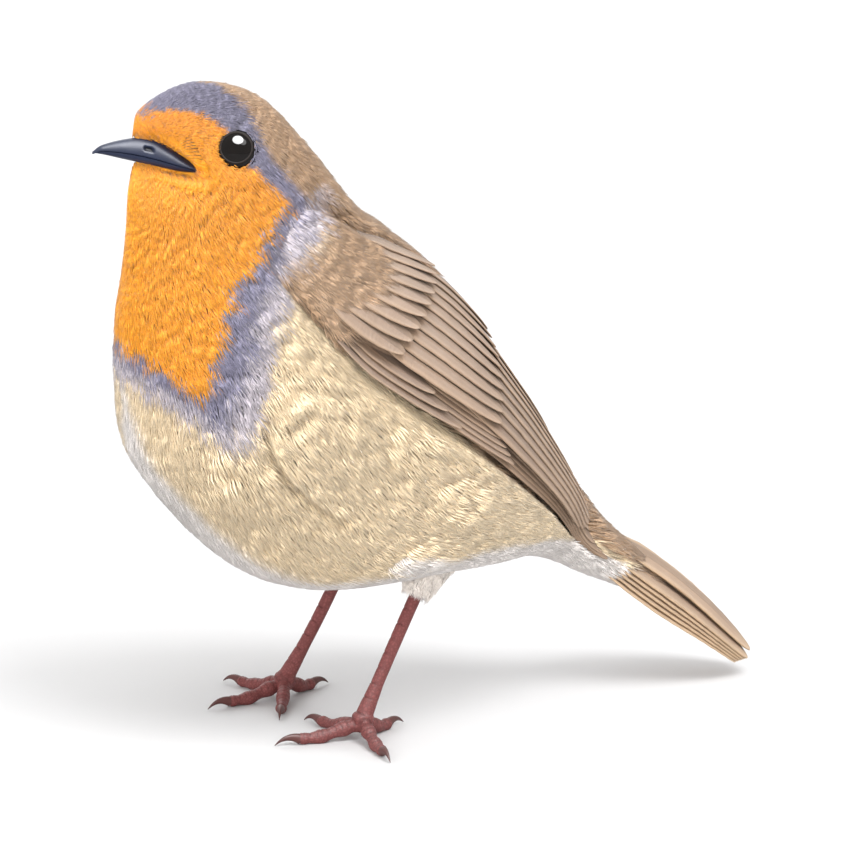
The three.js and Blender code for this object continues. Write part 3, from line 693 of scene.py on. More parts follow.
def shank_points(foot, s):
    """The tarsus' middle line at s from 0 to 1, from heel to hub."""
    heel = np.array([foot["heel_x"], foot["y"] * LEG["half_hips"], LEG["heel_height"]])
    hub = hub_of(foot)
    return bent(s, heel, heel + (hub - heel) * 0.55 + np.array([foot["bow"], 0, 0]), hub)


def thigh_ends(foot):
    heel, end = shank_points(foot, 0.0), shank_points(foot, LEG["tuft_end"])
    return heel + np.array([3.0, -foot["y"] * 1.5, 6.0]), end


def thigh_radius(s):
    return 1.35 + 6.2 * (1 - s**0.9)


SKIN_RINGS, SKIN_SIDES, SKIN_VOXEL = 170, 128, 0.00042


def skin():
    """The flesh under the coat, head, body and thighs, as one closed surface."""
    a, b = tube_grid(0.004, 0.995, SKIN_RINGS, SKIN_SIDES)
    flesh = body(a, b, thigh_relief(a, b) - coat_depth(a))
    parts = [tube(flesh)]
    for foot in FEET:
        top, end = thigh_ends(foot)
        s = np.linspace(0, 0.8, 20)
        parts.append(tube(limb_rings(top + np.multiply.outer(s, end - top), thigh_radius(s) - 0.9, 24)))
    verts, faces = joined(parts)
    piece = mesh_piece("skin", verts, faces, DOWN)
    points, _ = remeshed(piece, SKIN_VOXEL)
    nearest = nearest_of(points, flesh.reshape(-1, 3))
    set_tint(piece.data, markings(a.ravel()[nearest], b.ravel()[nearest]))
    return piece


# ---- small feathers

BARB_FACES = np.array(
    [(0, 3, 4), (0, 4, 1), (1, 4, 5), (1, 5, 2), (2, 5, 3), (2, 3, 0), (3, 6, 4), (4, 6, 5), (5, 6, 3)]
    + [(0, 1, 2)]
)
BARB_SHADE = np.array([0.84, 0.84, 0.84, 0.97, 0.97, 1.0, 1.05])  # darker at the root than at the tip
BARB_SHARE = np.array([0, 0, 0, 0.5, 0.5, 0.5, 1.0])  # how far along the barb its points lie
BARBS = 9  # to a feather
PATCH = 0.003  # the size of one feather's patch in the bake map
GOLDEN = 0.618  # from row to row, the feathers left out move on by this share of their distance


def off_axis(points, side):
    """How far in front of an eye's middle points lie, where they lie off its axis, and that axis."""
    centre, out = eye_place(side)
    offset = points - centre
    level = offset @ out
    return level, offset - level[..., None] * out, out


def room_before_eyes(root, flow):
    """How long a feather can be before it reaches an eye: root is its place and flow the way that it lies."""
    room = np.full(len(root), 99.0)
    for side in SIDES:
        level, radial, out = off_axis(root, side)
        way = unit(flow - (flow @ out)[:, None] * out)
        closing = -(radial * way).sum(-1)
        miss = (radial**2).sum(-1) - closing**2
        hit = (level > -2) & (closing > 0) & (miss < EYE_CLEAR**2)
        distance = closing - np.sqrt(np.maximum(EYE_CLEAR**2 - miss, 0))
        room = np.where(hit, np.minimum(room, distance), room)
    return room


def feather_piece(name, surface, roots, rng, shape, colour, unwrap, count=BARBS):
    """A piece of small feathers on a surface, each a fan of barbs that follows the surface backward. A barb
    is a closed three-sided blade.

    roots holds (along, around) for each feather, and shape its length, half width, barb width and the
    lift of its root and tip. colour gives the tint and unwrap the place in the bake map for such rows."""
    a, b = roots.T
    length, half, width, root_lift, tip_lift = (np.broadcast_to(value, len(a))[:, None] for value in shape)
    per_a, per_b, normal = frame_at(surface, a, b)
    per_a, per_b = per_a[:, None], np.maximum(per_b, 2.0)[:, None]
    grid, single = (len(a), count), (len(a), 1)
    q = np.linspace(-1, 1, count)[None] + rng.uniform(-0.12, 0.12, grid)
    size = length * rng.uniform(0.85, 1.12, single)
    lean = rng.normal(0, 0.1, single)

    def at(forward, sideways, lift):
        forward = forward * size
        sideways = sideways * half + lean * forward
        return surface(a[:, None] + forward / per_a, b[:, None] + sideways / per_b, lift)

    root = at(rng.uniform(0, 0.12, grid), q * 0.15, root_lift)
    rise = tip_lift - root_lift
    middle = at(0.48, q * 0.8, root_lift + rise * 0.74 + rng.uniform(-0.05, 0.05, grid))
    reach = (1 - 0.25 * q**2) * rng.uniform(0.82, 1.08, grid)
    tip = at(reach, q * 0.95 + rng.normal(0, 0.14, grid), tip_lift + rng.normal(0, 0.06, grid))
    tone = (1 + rng.normal(0, 0.05, single)) * (1 + rng.normal(0, 0.04, grid))
    stray = rng.normal(0, 0.8, single) + rng.normal(0, 0.25, grid)
    shown = 0.75 * size + stray  # a feather is seen near its tip, so it has the colour of that place
    tint = colour(a[:, None] + shown / per_a, b[:, None] + q * half * 0.8 / per_b) * tone[..., None]

    normal = normal[:, None]
    side = unit(np.cross(unit(tip - root), normal))
    w = (width * rng.uniform(0.8, 1.2, grid))[..., None]
    verts = [root - side * w * 0.35, root + side * w * 0.35, root + normal * w * 0.3]
    verts += [middle - side * w * 0.5, middle + side * w * 0.5, middle + normal * w * 0.4, tip]
    faces = BARB_FACES + np.arange(q.size)[:, None, None] * len(verts)
    patch = np.empty((*grid, len(verts), 2))
    patch[..., 0] = PATCH * 0.45 * np.clip(q, -1.1, 1.1)[..., None]
    patch[..., 1] = PATCH * (BARB_SHARE - 0.5)
    mesh_piece(
        name,
        np.stack(verts, 2).reshape(-1, 3),
        faces.reshape(-1, 3),
        COAT,
        uv=(unwrap(a, b)[:, None, None] + patch).reshape(-1, 2),
        tint=(tint[..., None, :] * BARB_SHADE[:, None]).reshape(-1, 3),
    )


def round_unwrap(start, share):
    """Places in the bake map for a surface that is round: across for around, up for along."""
    return lambda along, around: np.stack([around / TURN + 0.5, start + share * along], -1)


def spacing_at(along):
    return 0.46 + 0.32 * smooth(along, 0.06, 0.3) + 0.32 * smooth(along, 0.35, 0.6)


def length_at(along):
    return 1.15 + 1.75 * smooth(along, 0.05, 0.3) + 3.0 * smooth(along, 0.3, 0.62)


def body_rows(rng, start, end):
    """Roots in staggered rows round the body."""
    roots = []
    along, odd = start, 0
    circle = np.linspace(-math.pi, math.pi, 241)
    while along < end:
        step = float(spacing_at(along))
        lengths = distances(plumage(np.full_like(circle, along), circle))
        number = max(8, int(lengths[-1] / step))
        marks = (np.arange(number) + 0.5 * odd + rng.uniform(-0.38, 0.38, number)) / number % 1.0
        around = np.interp(marks * lengths[-1], lengths, circle)
        ahead, behind = plumage(along + 0.004, around), plumage(along - 0.004, around)
        flow = np.maximum(np.linalg.norm(ahead - behind, axis=-1) / 0.008, 10)
        # rows crowd where the body's sections lie close together: there feathers are left out, evenly
        share = flow / flow.max()
        total = np.cumsum(share) + len(roots) * GOLDEN
        kept = np.floor(total) > np.floor(total - share)
        shift = rng.uniform(-0.4, 0.4, number) * step / flow
        roots.append(np.stack([along + shift, around], -1)[kept])
        along += step / flow.max()
        odd ^= 1
    return np.concatenate(roots)


def patch_rows(surface, rng, a_range, b_range, spacing):
    """Roots in staggered rows over a piece of any surface."""
    roots = []
    a, odd = a_range[0], 0
    while a < a_range[1]:
        b = np.linspace(*b_range, 60)
        per_a, per_b, _ = frame_at(surface, np.full_like(b, a), b)
        number = max(3, int(per_b.mean() * (b_range[1] - b_range[0]) / spacing))
        share = (np.arange(number) + 0.25 + 0.5 * odd + rng.uniform(-0.35, 0.35, number)) / number
        shift = rng.uniform(-0.4, 0.4, number) * spacing / per_a.mean()
        roots.append(np.stack([a + shift, between(b_range, share)], -1))
        a += spacing / per_a.mean()
        odd ^= 1
    return np.concatenate(roots)


# ---- the body's coat

COAT_PIECES = {  # from and to a place along the body, and the record's slot of each piece
    "coat_face": (0.002, 0.2, "head_plumage"),
    "coat_head": (0.2, 0.33, "head_plumage"),
    "coat_nape_throat": (0.33, 0.425, "head_plumage"),
    "coat_neck": (0.425, 0.485, "breast_plumage"),
    "coat_breast": (0.485, 0.55, "breast_plumage"),
    "coat_mantle": (0.55, 0.625, "belly_plumage"),
    "coat_belly": (0.625, 0.71, "belly_plumage"),
    "coat_flanks": (0.71, 0.81, "belly_plumage"),
    "coat_rump": (0.81, 0.995, "back_plumage"),
}
GAPE_X = -20.6  # the bill covers the face in front of this


def under_bill(points):
    """True for points of the face that the bill covers."""
    bare = turned(points, -1.0)
    mouth, half, above, below = bill_section(bare[..., 0])
    level = bare[..., 2] - mouth
    high = np.where(level > 0, level / (above + 0.1), -level / (below + 0.1))
    return (bare[..., 0] < GAPE_X) & ((bare[..., 1] / (half + 0.15)) ** 2 + high**2 < 1)


def on_eye(points):
    inside = np.zeros(points.shape[:-1], bool)
    for side in SIDES:
        level, radial, _ = off_axis(points, side)
        inside |= (np.linalg.norm(radial, axis=-1) < EYE_CLEAR) & (level > -1)
    return inside


def under_wing(along, around):
    """True where a wing's feathers hide the coat."""
    u, v = wing_place(along, around)
    return (u > 0.03) & (u < 0.95) & (v > 0.1 + 0.36 * smooth(u, 0.5, 0.9)) & (v < 0.95)


def coat_surface(along, around, lift):
    """The surface that the coat's feathers follow, lower where a wing lies on it."""
    return plumage(along, around, lift - 0.8 * bed_depth(along, around) + thigh_relief(along, around))


def coat():
    rng = np.random.default_rng(SEED)
    for name, (start, end, slot) in COAT_PIECES.items():
        roots = body_rows(rng, start, end)
        points = plumage(*roots.T)
        roots = roots[~(under_bill(points) | on_eye(points) | under_wing(*roots.T))]
        a, b = roots.T
        room = room_before_eyes(plumage(a, b), plumage(a + 0.01, b) - plumage(a, b))
        roots, room = roots[room > 0.5], room[room > 0.5]
        a, b = roots.T
        tip_lift = rng.normal(0.02, 0.045, len(a)) * (0.6 + smooth(a, 0.1, 0.5))
        tip_lift += 0.9 * thigh_patch(a + 0.02, b)
        tip_lift += ruffled(a + 0.03, b) * np.abs(rng.normal(0, 0.55, len(a)))
        root_lift = -(coat_depth(a) + 0.2 + 0.2 * bed_depth(a, b))
        length, barb = length_at(a), 0.09 + 0.14 * smooth(a, 0.05, 0.55)
        shape = (np.minimum(length, room), 0.42 + 0.2 * length, barb, root_lift, tip_lift)
        feather_piece(name, coat_surface, roots, rng, shape, markings, round_unwrap(0.02, 0.95))


RING_RADII = (2.2, 2.45, 2.74, 3.08, 3.5, 3.95)


def eye_ring(side):
    """The tiniest feathers, standing round the lids and clear of the eyeball."""
    rng = np.random.default_rng(SEED + 60 + side)
    a, b = EYE["along"], side * EYE["around"]
    per_a, per_b, _ = frame_at(plumage, a, b)
    centre, _ = eye_place(side)

    def on_body(radius, turn):
        return a + radius * np.cos(turn) / per_a, b + radius * np.sin(turn) / per_b

    def surface(radius, turn, lift):
        offset = plumage(*on_body(radius, turn), lift) - centre
        reach = np.linalg.norm(offset, axis=-1, keepdims=True)
        return centre + offset * np.maximum(1, (EYE["radius"] + 0.08) / reach)

    def colour(radius, turn):
        return markings(*on_body(radius, turn))

    def unwrap(radius, turn):
        return 0.5 + 0.09 * radius[:, None] * np.stack([np.cos(turn), np.sin(turn)], -1)

    roots = []
    for radius in RING_RADII:
        number = int(TURN * radius / 0.36)
        turn = (np.arange(number) + rng.uniform(-0.3, 0.3, number)) / number * TURN
        roots.append(np.stack([radius + rng.uniform(-0.1, 0.1, number), turn], -1))
    roots = np.concatenate(roots)
    out = roots[:, 0] - RING_RADII[0]
    shape = (0.68 + 0.32 * out, 0.3, 0.09, -0.75, -0.3 + 0.18 * out)
    name = f"eye_{SIDES[side]}_feathers"
    feather_piece(name, surface, roots, rng, shape, colour, unwrap, 5)


# ---- vanes

TOP_COLUMNS = np.array([-1, -0.82, -0.56, -0.3, -0.08, 0, 0.08, 0.3, 0.56, 0.82, 1.0])
UNDER_COLUMNS = np.array([1, 0.5, 0, -0.5, -1.0])
COLUMNS = np.concatenate([TOP_COLUMNS, UNDER_COLUMNS])
ON_TOP = np.arange(len(COLUMNS)) < len(TOP_COLUMNS)
ON_SHAFT, ON_EDGE = np.abs(COLUMNS) < 0.05, np.abs(COLUMNS) == 1
SHAFT_COLUMN = 5
SHAFT_HEIGHT = 0.2


def blade_width(s, tip_from, power):
    """A feather's half width, as a share of its widest, at s from root to tip."""
    opening = 0.4 + 0.6 * smooth(s, -0.08, 0.4)
    closing = np.clip((s - tip_from) / (1 - tip_from), 0, 1)
    return opening * np.sqrt(1 - closing**power)


def vane(surface, rng, half, base, fringe, cell, steps, tip_from, power=2.4, thickness=0.2, camber=0.1):
    """A flight feather or covert, a closed blade with a raised shaft. surface(s, across, up) gives its
    points, and cell is its place in the piece's bake map: column, row and their count."""
    t = np.linspace(0, 1, steps)
    s = (0.994 * (1 - (1 - t) ** 1.5))[:, None]
    width = half * blade_width(s, tip_from, power)
    across = width * COLUMNS[None] * (1 + rng.normal(0, 0.018, (steps, len(COLUMNS))) * ON_EDGE)
    arch = camber * width * (1 - COLUMNS**2)[None]
    shaft = SHAFT_HEIGHT * (1 - 0.8 * s) * ON_SHAFT
    up = arch + np.where(ON_TOP[None], thickness / 2 * (1 - 0.4 * s) + shaft, -thickness / 2)
    rings = surface(s, across, up)
    verts, faces = tube(rings, (rings[0].mean(0), surface(1.0, 0.0, 0.0)))
    run = distances(rings[:, SHAFT_COLUMN])
    coords = np.stack([across, np.broadcast_to(run[:, None], across.shape)], -1).reshape(-1, 2)
    coords = np.concatenate([coords, [(0, 0), (0, run[-1])]])
    column, row, side = cell
    u = 0.04 + (COLUMNS[None] * 0.5 + 0.5) * 0.44 + np.where(ON_TOP, 0, 0.48)[None]
    uv = np.stack([np.broadcast_to(u, across.shape), np.broadcast_to(0.03 + 0.94 * s, across.shape)], -1)
    uv = (np.concatenate([uv.reshape(-1, 2), [(0.26, 0.02), (0.26, 0.98)]]) + (column, row)) / side
    # Painted shade: the half of each vane on its negative side, which in a wing lies shingled under its
    # neighbour, is 16% darker; the shaft is 30% darker as its own colour.
    painted_half_shade_and_shaft = 1 - 0.16 * smooth(-COLUMNS, -0.1, 0.3) - 0.3 * ON_SHAFT
    edge = smooth(COLUMNS, 0.5, 0.95)[None] * 0.8 + 0.55 * smooth(s, 0.86, 1.0)
    edge = np.clip(edge, 0, 1)[..., None]
    tint = base * painted_half_shade_and_shaft[None, :, None] * (0.88 + 0.12 * smooth(s, 0.0, 0.5))[..., None]
    tint = (tint * (1 - edge) + fringe * edge) * (1 + rng.normal(0, 0.035))
    return verts, faces, uv, np.concatenate([tint.reshape(-1, 3), [base * 0.8, fringe]]), coords


def cells(count):
    """Places in a square bake map for a number of vanes."""
    side = math.ceil(math.sqrt(count))
    return iter([(k % side, k // side, side) for k in range(count)])


# ---- wings

ARM = {"start": -0.04, "end": 0.46, "half": 0.47, "under": -2.2, "height": 2.66}
# Each pair is for a row's first feather, nearest the back, and its last, but in lift and shingle for a
# feather's root and tip. reach says how much longer the middle ones are, and how evenly.
WING_ROWS = {
    "primaries": dict(
        count=7, root_u=(0.44, 0.34), root_v=(0.66, 0.93), tip_u=(0.85, 0.94), tip_v=(0.34, 0.8),
        lift=(-2.2, -1.7), shingle=(0.12, 0.42), half=(1.9, 1.5), reach=(0.09, 1.0),
        steps=44, tip_from=0.72, base=FLIGHT_BROWN,
    ),
    "secondaries": dict(
        count=9, root_u=(0.24, 0.32), root_v=(0.1, 0.76), tip_u=(0.57, 0.79), tip_v=(0.12, 0.76),
        lift=(-0.8, -0.6), shingle=(0.26, 0.32), half=(2.6, 2.1), reach=(0.12, 0.8),
        steps=40, tip_from=0.66, base=FLIGHT_BROWN,
    ),
    "greater_coverts": dict(
        count=10, root_u=(0.14, 0.19), root_v=(0.08, 0.77), tip_u=(0.36, 0.44), tip_v=(0.08, 0.77),
        lift=(-0.7, 0.35), shingle=(0.26, 0.3), half=(2.1, 1.8),
        steps=26, tip_from=0.5, base=WING_BROWN,
    ),
    "median_coverts": dict(
        count=9, root_u=(0.07, 0.1), root_v=(0.1, 0.8), tip_u=(0.21, 0.26), tip_v=(0.1, 0.8),
        lift=(-0.7, 1.1), shingle=(0.26, 0.3), half=(2.0, 1.8),
        steps=22, tip_from=0.4, base=WING_BROWN,
    ),
    "primary_coverts": dict(
        count=5, root_u=(0.24, 0.26), root_v=(0.78, 0.93), tip_u=(0.45, 0.51), tip_v=(0.79, 0.93),
        lift=(-1.6, -0.8), shingle=(0.3, 0.4), half=(1.3, 1.1),
        steps=24, tip_from=0.55, base=FLIGHT_BROWN,
    ),
    "alula": dict(
        count=3, root_u=(0.17, 0.18), root_v=(0.86, 0.95), tip_u=(0.34, 0.4), tip_v=(0.87, 0.96),
        lift=(-1.6, -0.1), shingle=(0.3, 0.4), half=(1.2, 1.0),
        steps=22, tip_from=0.55, base=FLIGHT_BROWN,
    ),
}


def wing_vanes(side):
    at = wing_surface(side)
    rng = np.random.default_rng(SEED + side)
    places = cells(sum(row["count"] for row in WING_ROWS.values()))

    def width_at(u):
        return np.linalg.norm(at(u, 0.0, 1.0) - at(u, 1.0, 1.0), axis=-1)

    def feather_surface(row, share):
        reach, power = row.get("reach", (0, 1))
        root_u, root_v = between(row["root_u"], share), between(row["root_v"], share)
        tip_u, tip_v = between(row["tip_u"], share), between(row["tip_v"], share)
        tip_u += reach * math.sin(math.pi * share**power) ** power

        def surface(s, across, up):
            u = between((root_u, tip_u), s)
            v = between((root_v, tip_v), s) + across / width_at(u)
            return at(u, v, between(row["lift"], s) + between(row["shingle"], s) * across + up)

        return surface

    parts = []
    for row in WING_ROWS.values():
        for k in range(row["count"]):
            share = k / (row["count"] - 1)
            surface, half = feather_surface(row, min(share, 0.9999)), between(row["half"], share)
            look = (row["base"], WING_FRINGE, next(places))
            parts.append(vane(surface, rng, half, *look, row["steps"], row["tip_from"]))
    return joined(parts)


def arm_fullness(u):
    s = np.clip((u - ARM["start"]) / (ARM["end"] - ARM["start"]), 0, 1)
    return np.sin(math.pi * s**0.66) ** 0.75


def arm_surface(side):
    """The muscled arm that the small coverts lie on."""
    at = wing_surface(side)

    def over(u, v, lift):
        full = arm_fullness(u)
        across = np.clip((v - 0.5) / (ARM["half"] * np.maximum(full, 0.05)), -1, 1)
        return at(u, v, ARM["under"] + ARM["height"] * full * (1 - across**2) ** 0.35 + lift)

    return over


def arm(side):
    """The arm under the small coverts, closed below."""
    along, turns = np.linspace(ARM["start"] + 0.01, ARM["end"] - 0.03, 40), np.linspace(0, math.pi, 25)
    u, turn = np.meshgrid(along, turns, indexing="ij")
    full = arm_fullness(u)
    lift = ARM["under"] - 0.35 + ARM["height"] * full * np.sin(turn) ** 0.7
    return tube(wing_surface(side)(u, 0.5 + ARM["half"] * full * np.cos(turn), lift))


def wing(side):
    name = f"wing_{SIDES[side]}"
    verts, faces, uv, tint, coords = wing_vanes(side)
    vanes = mesh_piece(f"{name}_vanes", verts, faces, WING_VANES, uv, tint, coords)
    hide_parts(name)
    verts, faces = arm(side)
    mesh_piece(f"{name}_arm", verts, faces, DOWN, tint=WING_BROWN * 0.8)

    surface = arm_surface(side)
    rng = np.random.default_rng(SEED + 10 + side)
    lesser = patch_rows(surface, rng, (-0.05, 0.15), (0.03, 0.97), 0.8)
    shoulder = patch_rows(surface, rng, (0.1, 0.3), (-0.06, 0.16), 0.9)
    roots = np.concatenate([lesser, shoulder])
    tip_lift = 0.32 + rng.normal(0, 0.07, len(roots))
    shape = (4.2 + 1.2 * smooth(roots[:, 0], 0.0, 0.2), 1.0, 0.17, -0.6, tip_lift)

    def colour(u, v):
        along = between((WING["start"], WING["end"]), u)
        around = upper_edge(u)[..., 0] * (1 - v) + lower_edge(u)[..., 0] * v
        brown = smooth(u - 0.03 * smooth(v, 0.1, 0.4), -0.01, 0.03)
        return mix(markings(along, around), BROWN * 0.95, brown)

    def unwrap(u, v):
        return np.stack([0.1 + 0.8 * v, 0.1 + 2.0 * (u + 0.06)], -1)

    feather_piece(f"{name}_coverts", surface, roots, rng, shape, colour, unwrap)


# ---- tail

TAIL_PAIRS, TAIL_HALF, TAIL_MIDDLES, TAIL_STEP = 6, 2.75, (0.5, 2.65, 4.2), 0.58
TAIL_VANE = {"steps": 48, "tip_from": 0.76, "power": 1.9, "thickness": 0.24, "camber": 0.06}
TAIL_STUB = {"length": 0.4, "half": (4.4, 4.0), "height": (3.0, 1.7)}


def tail_at(s, side, lift):
    """Points of the tail: s runs from root to tip, side to the bird's left and lift off its upper face."""
    s, side, lift = np.broadcast_arrays(np.asarray(s, float), side, lift)
    root, bend, tip = TAIL_LINE
    point = bent(s, root, bend, tip)
    slope = unit(np.multiply.outer(1 - s, bend - root) + np.multiply.outer(s, tip - bend))
    roll = TAIL_ROLL * smooth(s, -0.3, 0.3)
    c, w = np.cos(roll), np.sin(roll)
    tangent = np.stack([slope[..., 0], 0 * s, slope[..., 1]], -1)
    across = np.stack([slope[..., 1] * w, -c, -slope[..., 0] * w], -1)
    above = np.cross(across, tangent)
    middle = np.stack([point[..., 0], 0 * s, point[..., 1]], -1)
    return middle + across * side[..., None] + above * lift[..., None]


def tail_feather_surface(pair, side):
    """The surface of one tail feather, the pairs lying under one another from the middle outward."""
    rank = max(0.0, (pair - 1) / (TAIL_PAIRS - 2))
    first, second, last = TAIL_MIDDLES
    middle = side * (first if pair == 0 else between((second, last), rank))
    layer = pair + 1 if pair else (side < 0)

    def surface(s, across, up):
        spread = 0.82 + 0.18 * smooth(s, 0, 0.45) + 0.14 * np.sin(np.pi * s) - 0.25 * smooth(s, 0.55, 1)
        under = TAIL_STEP * layer * (1 - 0.4 * smooth(s, 0.45, 1))
        return tail_at(0.06 + (0.94 - 0.03 * rank) * s, middle * spread + across * side, up - under)

    return surface


def tail():
    rng = np.random.default_rng(SEED + 30)
    places = cells(TAIL_PAIRS * 2)
    parts = []
    for pair in range(TAIL_PAIRS):
        for side in SIDES:
            look = (TAIL_BROWN, TAIL_FRINGE, next(places))
            parts.append(vane(tail_feather_surface(pair, side), rng, TAIL_HALF, *look, **TAIL_VANE))
    verts, faces, uv, tint, coords = joined(parts)
    piece = mesh_piece("tail_vanes", verts, faces, TAIL_VANES, uv, tint, coords)
    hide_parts("tail")


def stub_surface(s, around, lift):
    """The feathered root of the tail; around is 0 on its upper face."""
    share = np.clip(s, 0, 1)
    wide, high = between(TAIL_STUB["half"], share), between(TAIL_STUB["height"], share)
    side, level = (wide + lift) * np.sin(around), (high + lift) * np.cos(around)
    return tail_at(s * TAIL_STUB["length"], side, level - 0.9 * high - 0.3)


def tail_coverts():
    rng = np.random.default_rng(SEED + 31)
    verts, faces = tube(stub_surface(*tube_grid(0, 0.95, 16, 32), -0.6))
    mesh_piece("tail_root", verts, faces, DOWN, tint=BROWN * 0.8)
    roots = patch_rows(stub_surface, rng, (-0.3, 0.75), (-math.pi, math.pi), 0.85)
    # the undertail coverts end sooner than the upper ones
    roots = roots[(roots[:, 0] < 0.34) | (np.abs(roots[:, 1]) < 1.6)]
    below = smooth(np.abs(roots[:, 1]), 1.4, 2.2)
    shape = (5.5 - 1.5 * below, 1.1, 0.18, -0.9, 0.1 - 0.7 * below + rng.normal(0, 0.08, len(roots)))

    def colour(s, around):
        return mix(BROWN, BUFF * 0.6 + WHITE * 0.4, smooth(np.abs(around), 1.5, 1.9))

    feather_piece(
        "tail_coverts", stub_surface, roots, rng, shape, colour, round_unwrap(0.35, 0.5)
    )


# ---- thighs


def thigh_surface(foot):
    top, end = thigh_ends(foot)
    line = end - top
    across, above = cross_axes(unit(line))

    def at(s, around, lift):
        s, around, lift = np.broadcast_arrays(np.asarray(s, float), around, lift)
        radius = np.maximum(thigh_radius(np.clip(s, 0, 1.12)), 0.95) + lift
        out = np.cos(around)[..., None] * across + np.sin(around)[..., None] * above
        return top + s[..., None] * line + out * radius[..., None]

    return at


def thigh_coat(foot):
    surface = thigh_surface(foot)
    rng = np.random.default_rng(SEED + 40 + foot["y"])
    roots = patch_rows(surface, rng, (0.4, 0.84), (-math.pi, math.pi), 0.72)
    s = roots[:, 0]
    shape = (4.1 - 2.0 * s, 0.9 - 0.3 * s, 0.15, -0.8 + 0.2 * s, 0.15 + rng.normal(0, 0.12, len(s)))

    def colour(s, around):
        return WHITE * 0.85 + BUFF * 0.15 + 0 * s[..., None]

    name = f"thigh_{foot['side']}_coat"
    feather_piece(name, surface, roots, rng, shape, colour, round_unwrap(0.05, 0.9))


# ---- legs and feet

LEG_VOXEL = 0.00012
TOE_POINTS, TOE_SIDES, CLAW_SIDES = 60, 20, 18
SHANK_PITCH, TOE_PITCH = 2.3, 0.95  # from scute to scute
SHANK_GROOVE, TOE_GROOVE, GROOVE_WIDTH = 0.09, 0.07, 0.13


def toe_heading(foot, name):
    way = {"inner": -foot["y"], "outer": foot["y"]}.get(name, 1)
    angle = math.radians(180 - foot["heading"] - way * foot.get(name, 0))
    return np.array([math.cos(angle), math.sin(angle), 0.0])


def toe_line(foot, name):
    """The middle line of a toe, from the hub down to its tip."""
    toe, ahead, hub = TOES[name], toe_heading(foot, name), hub_of(foot)
    marks = ((0.4, 2.2), (toe["length"] * 0.3, 1.75), (toe["length"] * 0.66, toe["radius"] * 0.86))
    marks += ((toe["length"], toe["radius"] * 0.8),)
    points = [(*(hub + ahead * distance)[:2], z) for distance, z in marks]
    return curve(points)(np.linspace(0, 1, TOE_POINTS))


def claw(foot, name):
    toe, ahead = TOES[name], toe_heading(foot, name)
    line = toe_line(foot, name)
    start = line[-1] - unit(line[-1] - line[-2]) * 0.2
    length = toe["claw"] + 0.5
    arch, point = start + ahead * length * 0.55, start + ahead * length
    arch[2], point[2] = start[2] + 0.85, 0.16
    s = np.linspace(0, 1, 28)
    radii = toe["radius"] * 0.66 * (1 - 0.93 * s**0.9)
    verts, faces = tube(limb_rings(bent(s, start, arch, point), radii, CLAW_SIDES, 1.12))
    tint = CLAW_COLOUR * np.concatenate([np.repeat(1.05 - 0.35 * s, CLAW_SIDES), [1.05, 0.7]])[:, None]
    node = f"claw_{foot['side']}_{name}"
    piece = mesh_piece(f"{node}_horn", verts, faces, CLAW_HORN, tint=tint)
    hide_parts(node)


def leg(foot):
    """The bare leg and its four toes as one skin, with scutes down the front and over the toes."""
    s = np.linspace(0, 1, 120)
    swell = 1 + 0.35 * smooth(s, 0.75, 1) + 0.3 * (1 - smooth(s, 0, 0.2))
    lines = [(shank_points(foot, s), LEG["radius"] * swell, SHANK_PITCH)]
    s = np.linspace(0, 1, TOE_POINTS)
    for name, toe in TOES.items():
        radii = toe["radius"] * (1.06 - 0.26 * s) * (1 + 0.13 * np.cos(TURN * toe["pads"] * s))
        radii *= np.sqrt(1 - np.clip((s - 0.9) / 0.1, 0, 1) ** 2 * 0.6)
        lines.append((toe_line(foot, name), radii, TOE_PITCH))
    parts = [tube(limb_rings(points, radii, TOE_SIDES)) for points, radii, _ in lines]
    parts.append(ball(hub_of(foot), HUB["radius"] * np.diag([1, 1, 0.8]), 0.1, 12, TOE_SIDES))
    verts, faces = joined(parts)
    piece = mesh_piece(f"leg_{foot['side']}", verts, faces, LEG_SKIN)
    points, normals = remeshed(piece, LEG_VOXEL)

    places = np.concatenate([line for line, _, _ in lines])
    nearest = nearest_of(points, places)
    run = np.concatenate([distances(line) for line, _, _ in lines])[nearest]
    pitch = np.concatenate([np.full(len(line), pitch) for line, _, pitch in lines])[nearest]
    offset = points - places[nearest]
    on_toe = pitch == TOE_PITCH
    front = np.where(on_toe, smooth(offset[:, 2], 0.1, 0.45), smooth(-offset[:, 0], -0.1, 0.4))
    phase = run / pitch % 1.0
    groove = np.exp(-((np.minimum(phase, 1 - phase) * pitch / GROOVE_WIDTH) ** 2)) * front
    points = points - normals * (groove * np.where(on_toe, TOE_GROOVE, SHANK_GROOVE))[:, None]
    points[:, 2] = np.maximum(points[:, 2], 0.0)  # the soles stay on the ground
    set_points(piece.data, points)
    # Painted shade: the grooves between the scutes are darkened by up to 35%; the scuted front and toe tops
    # are 6% lighter.
    tone = 1 - 0.35 * groove + 0.06 * front
    set_tint(piece.data, LEG_COLOUR * tone[:, None])
    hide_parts(f"tarsus_{foot['side']}", *(f"toe_{foot['side']}_{name}" for name in TOES))
    for name in TOES:
        claw(foot, name)


# ---- bill

NOSTRIL = {"x": -27.6, "level": 1.15, "long": 0.62, "high": 0.3, "deep": 0.5}
MOUTH_GAP = 0.05  # half the gap between the two halves
BRISTLES, BRISTLE_RADIUS = 7, 0.045


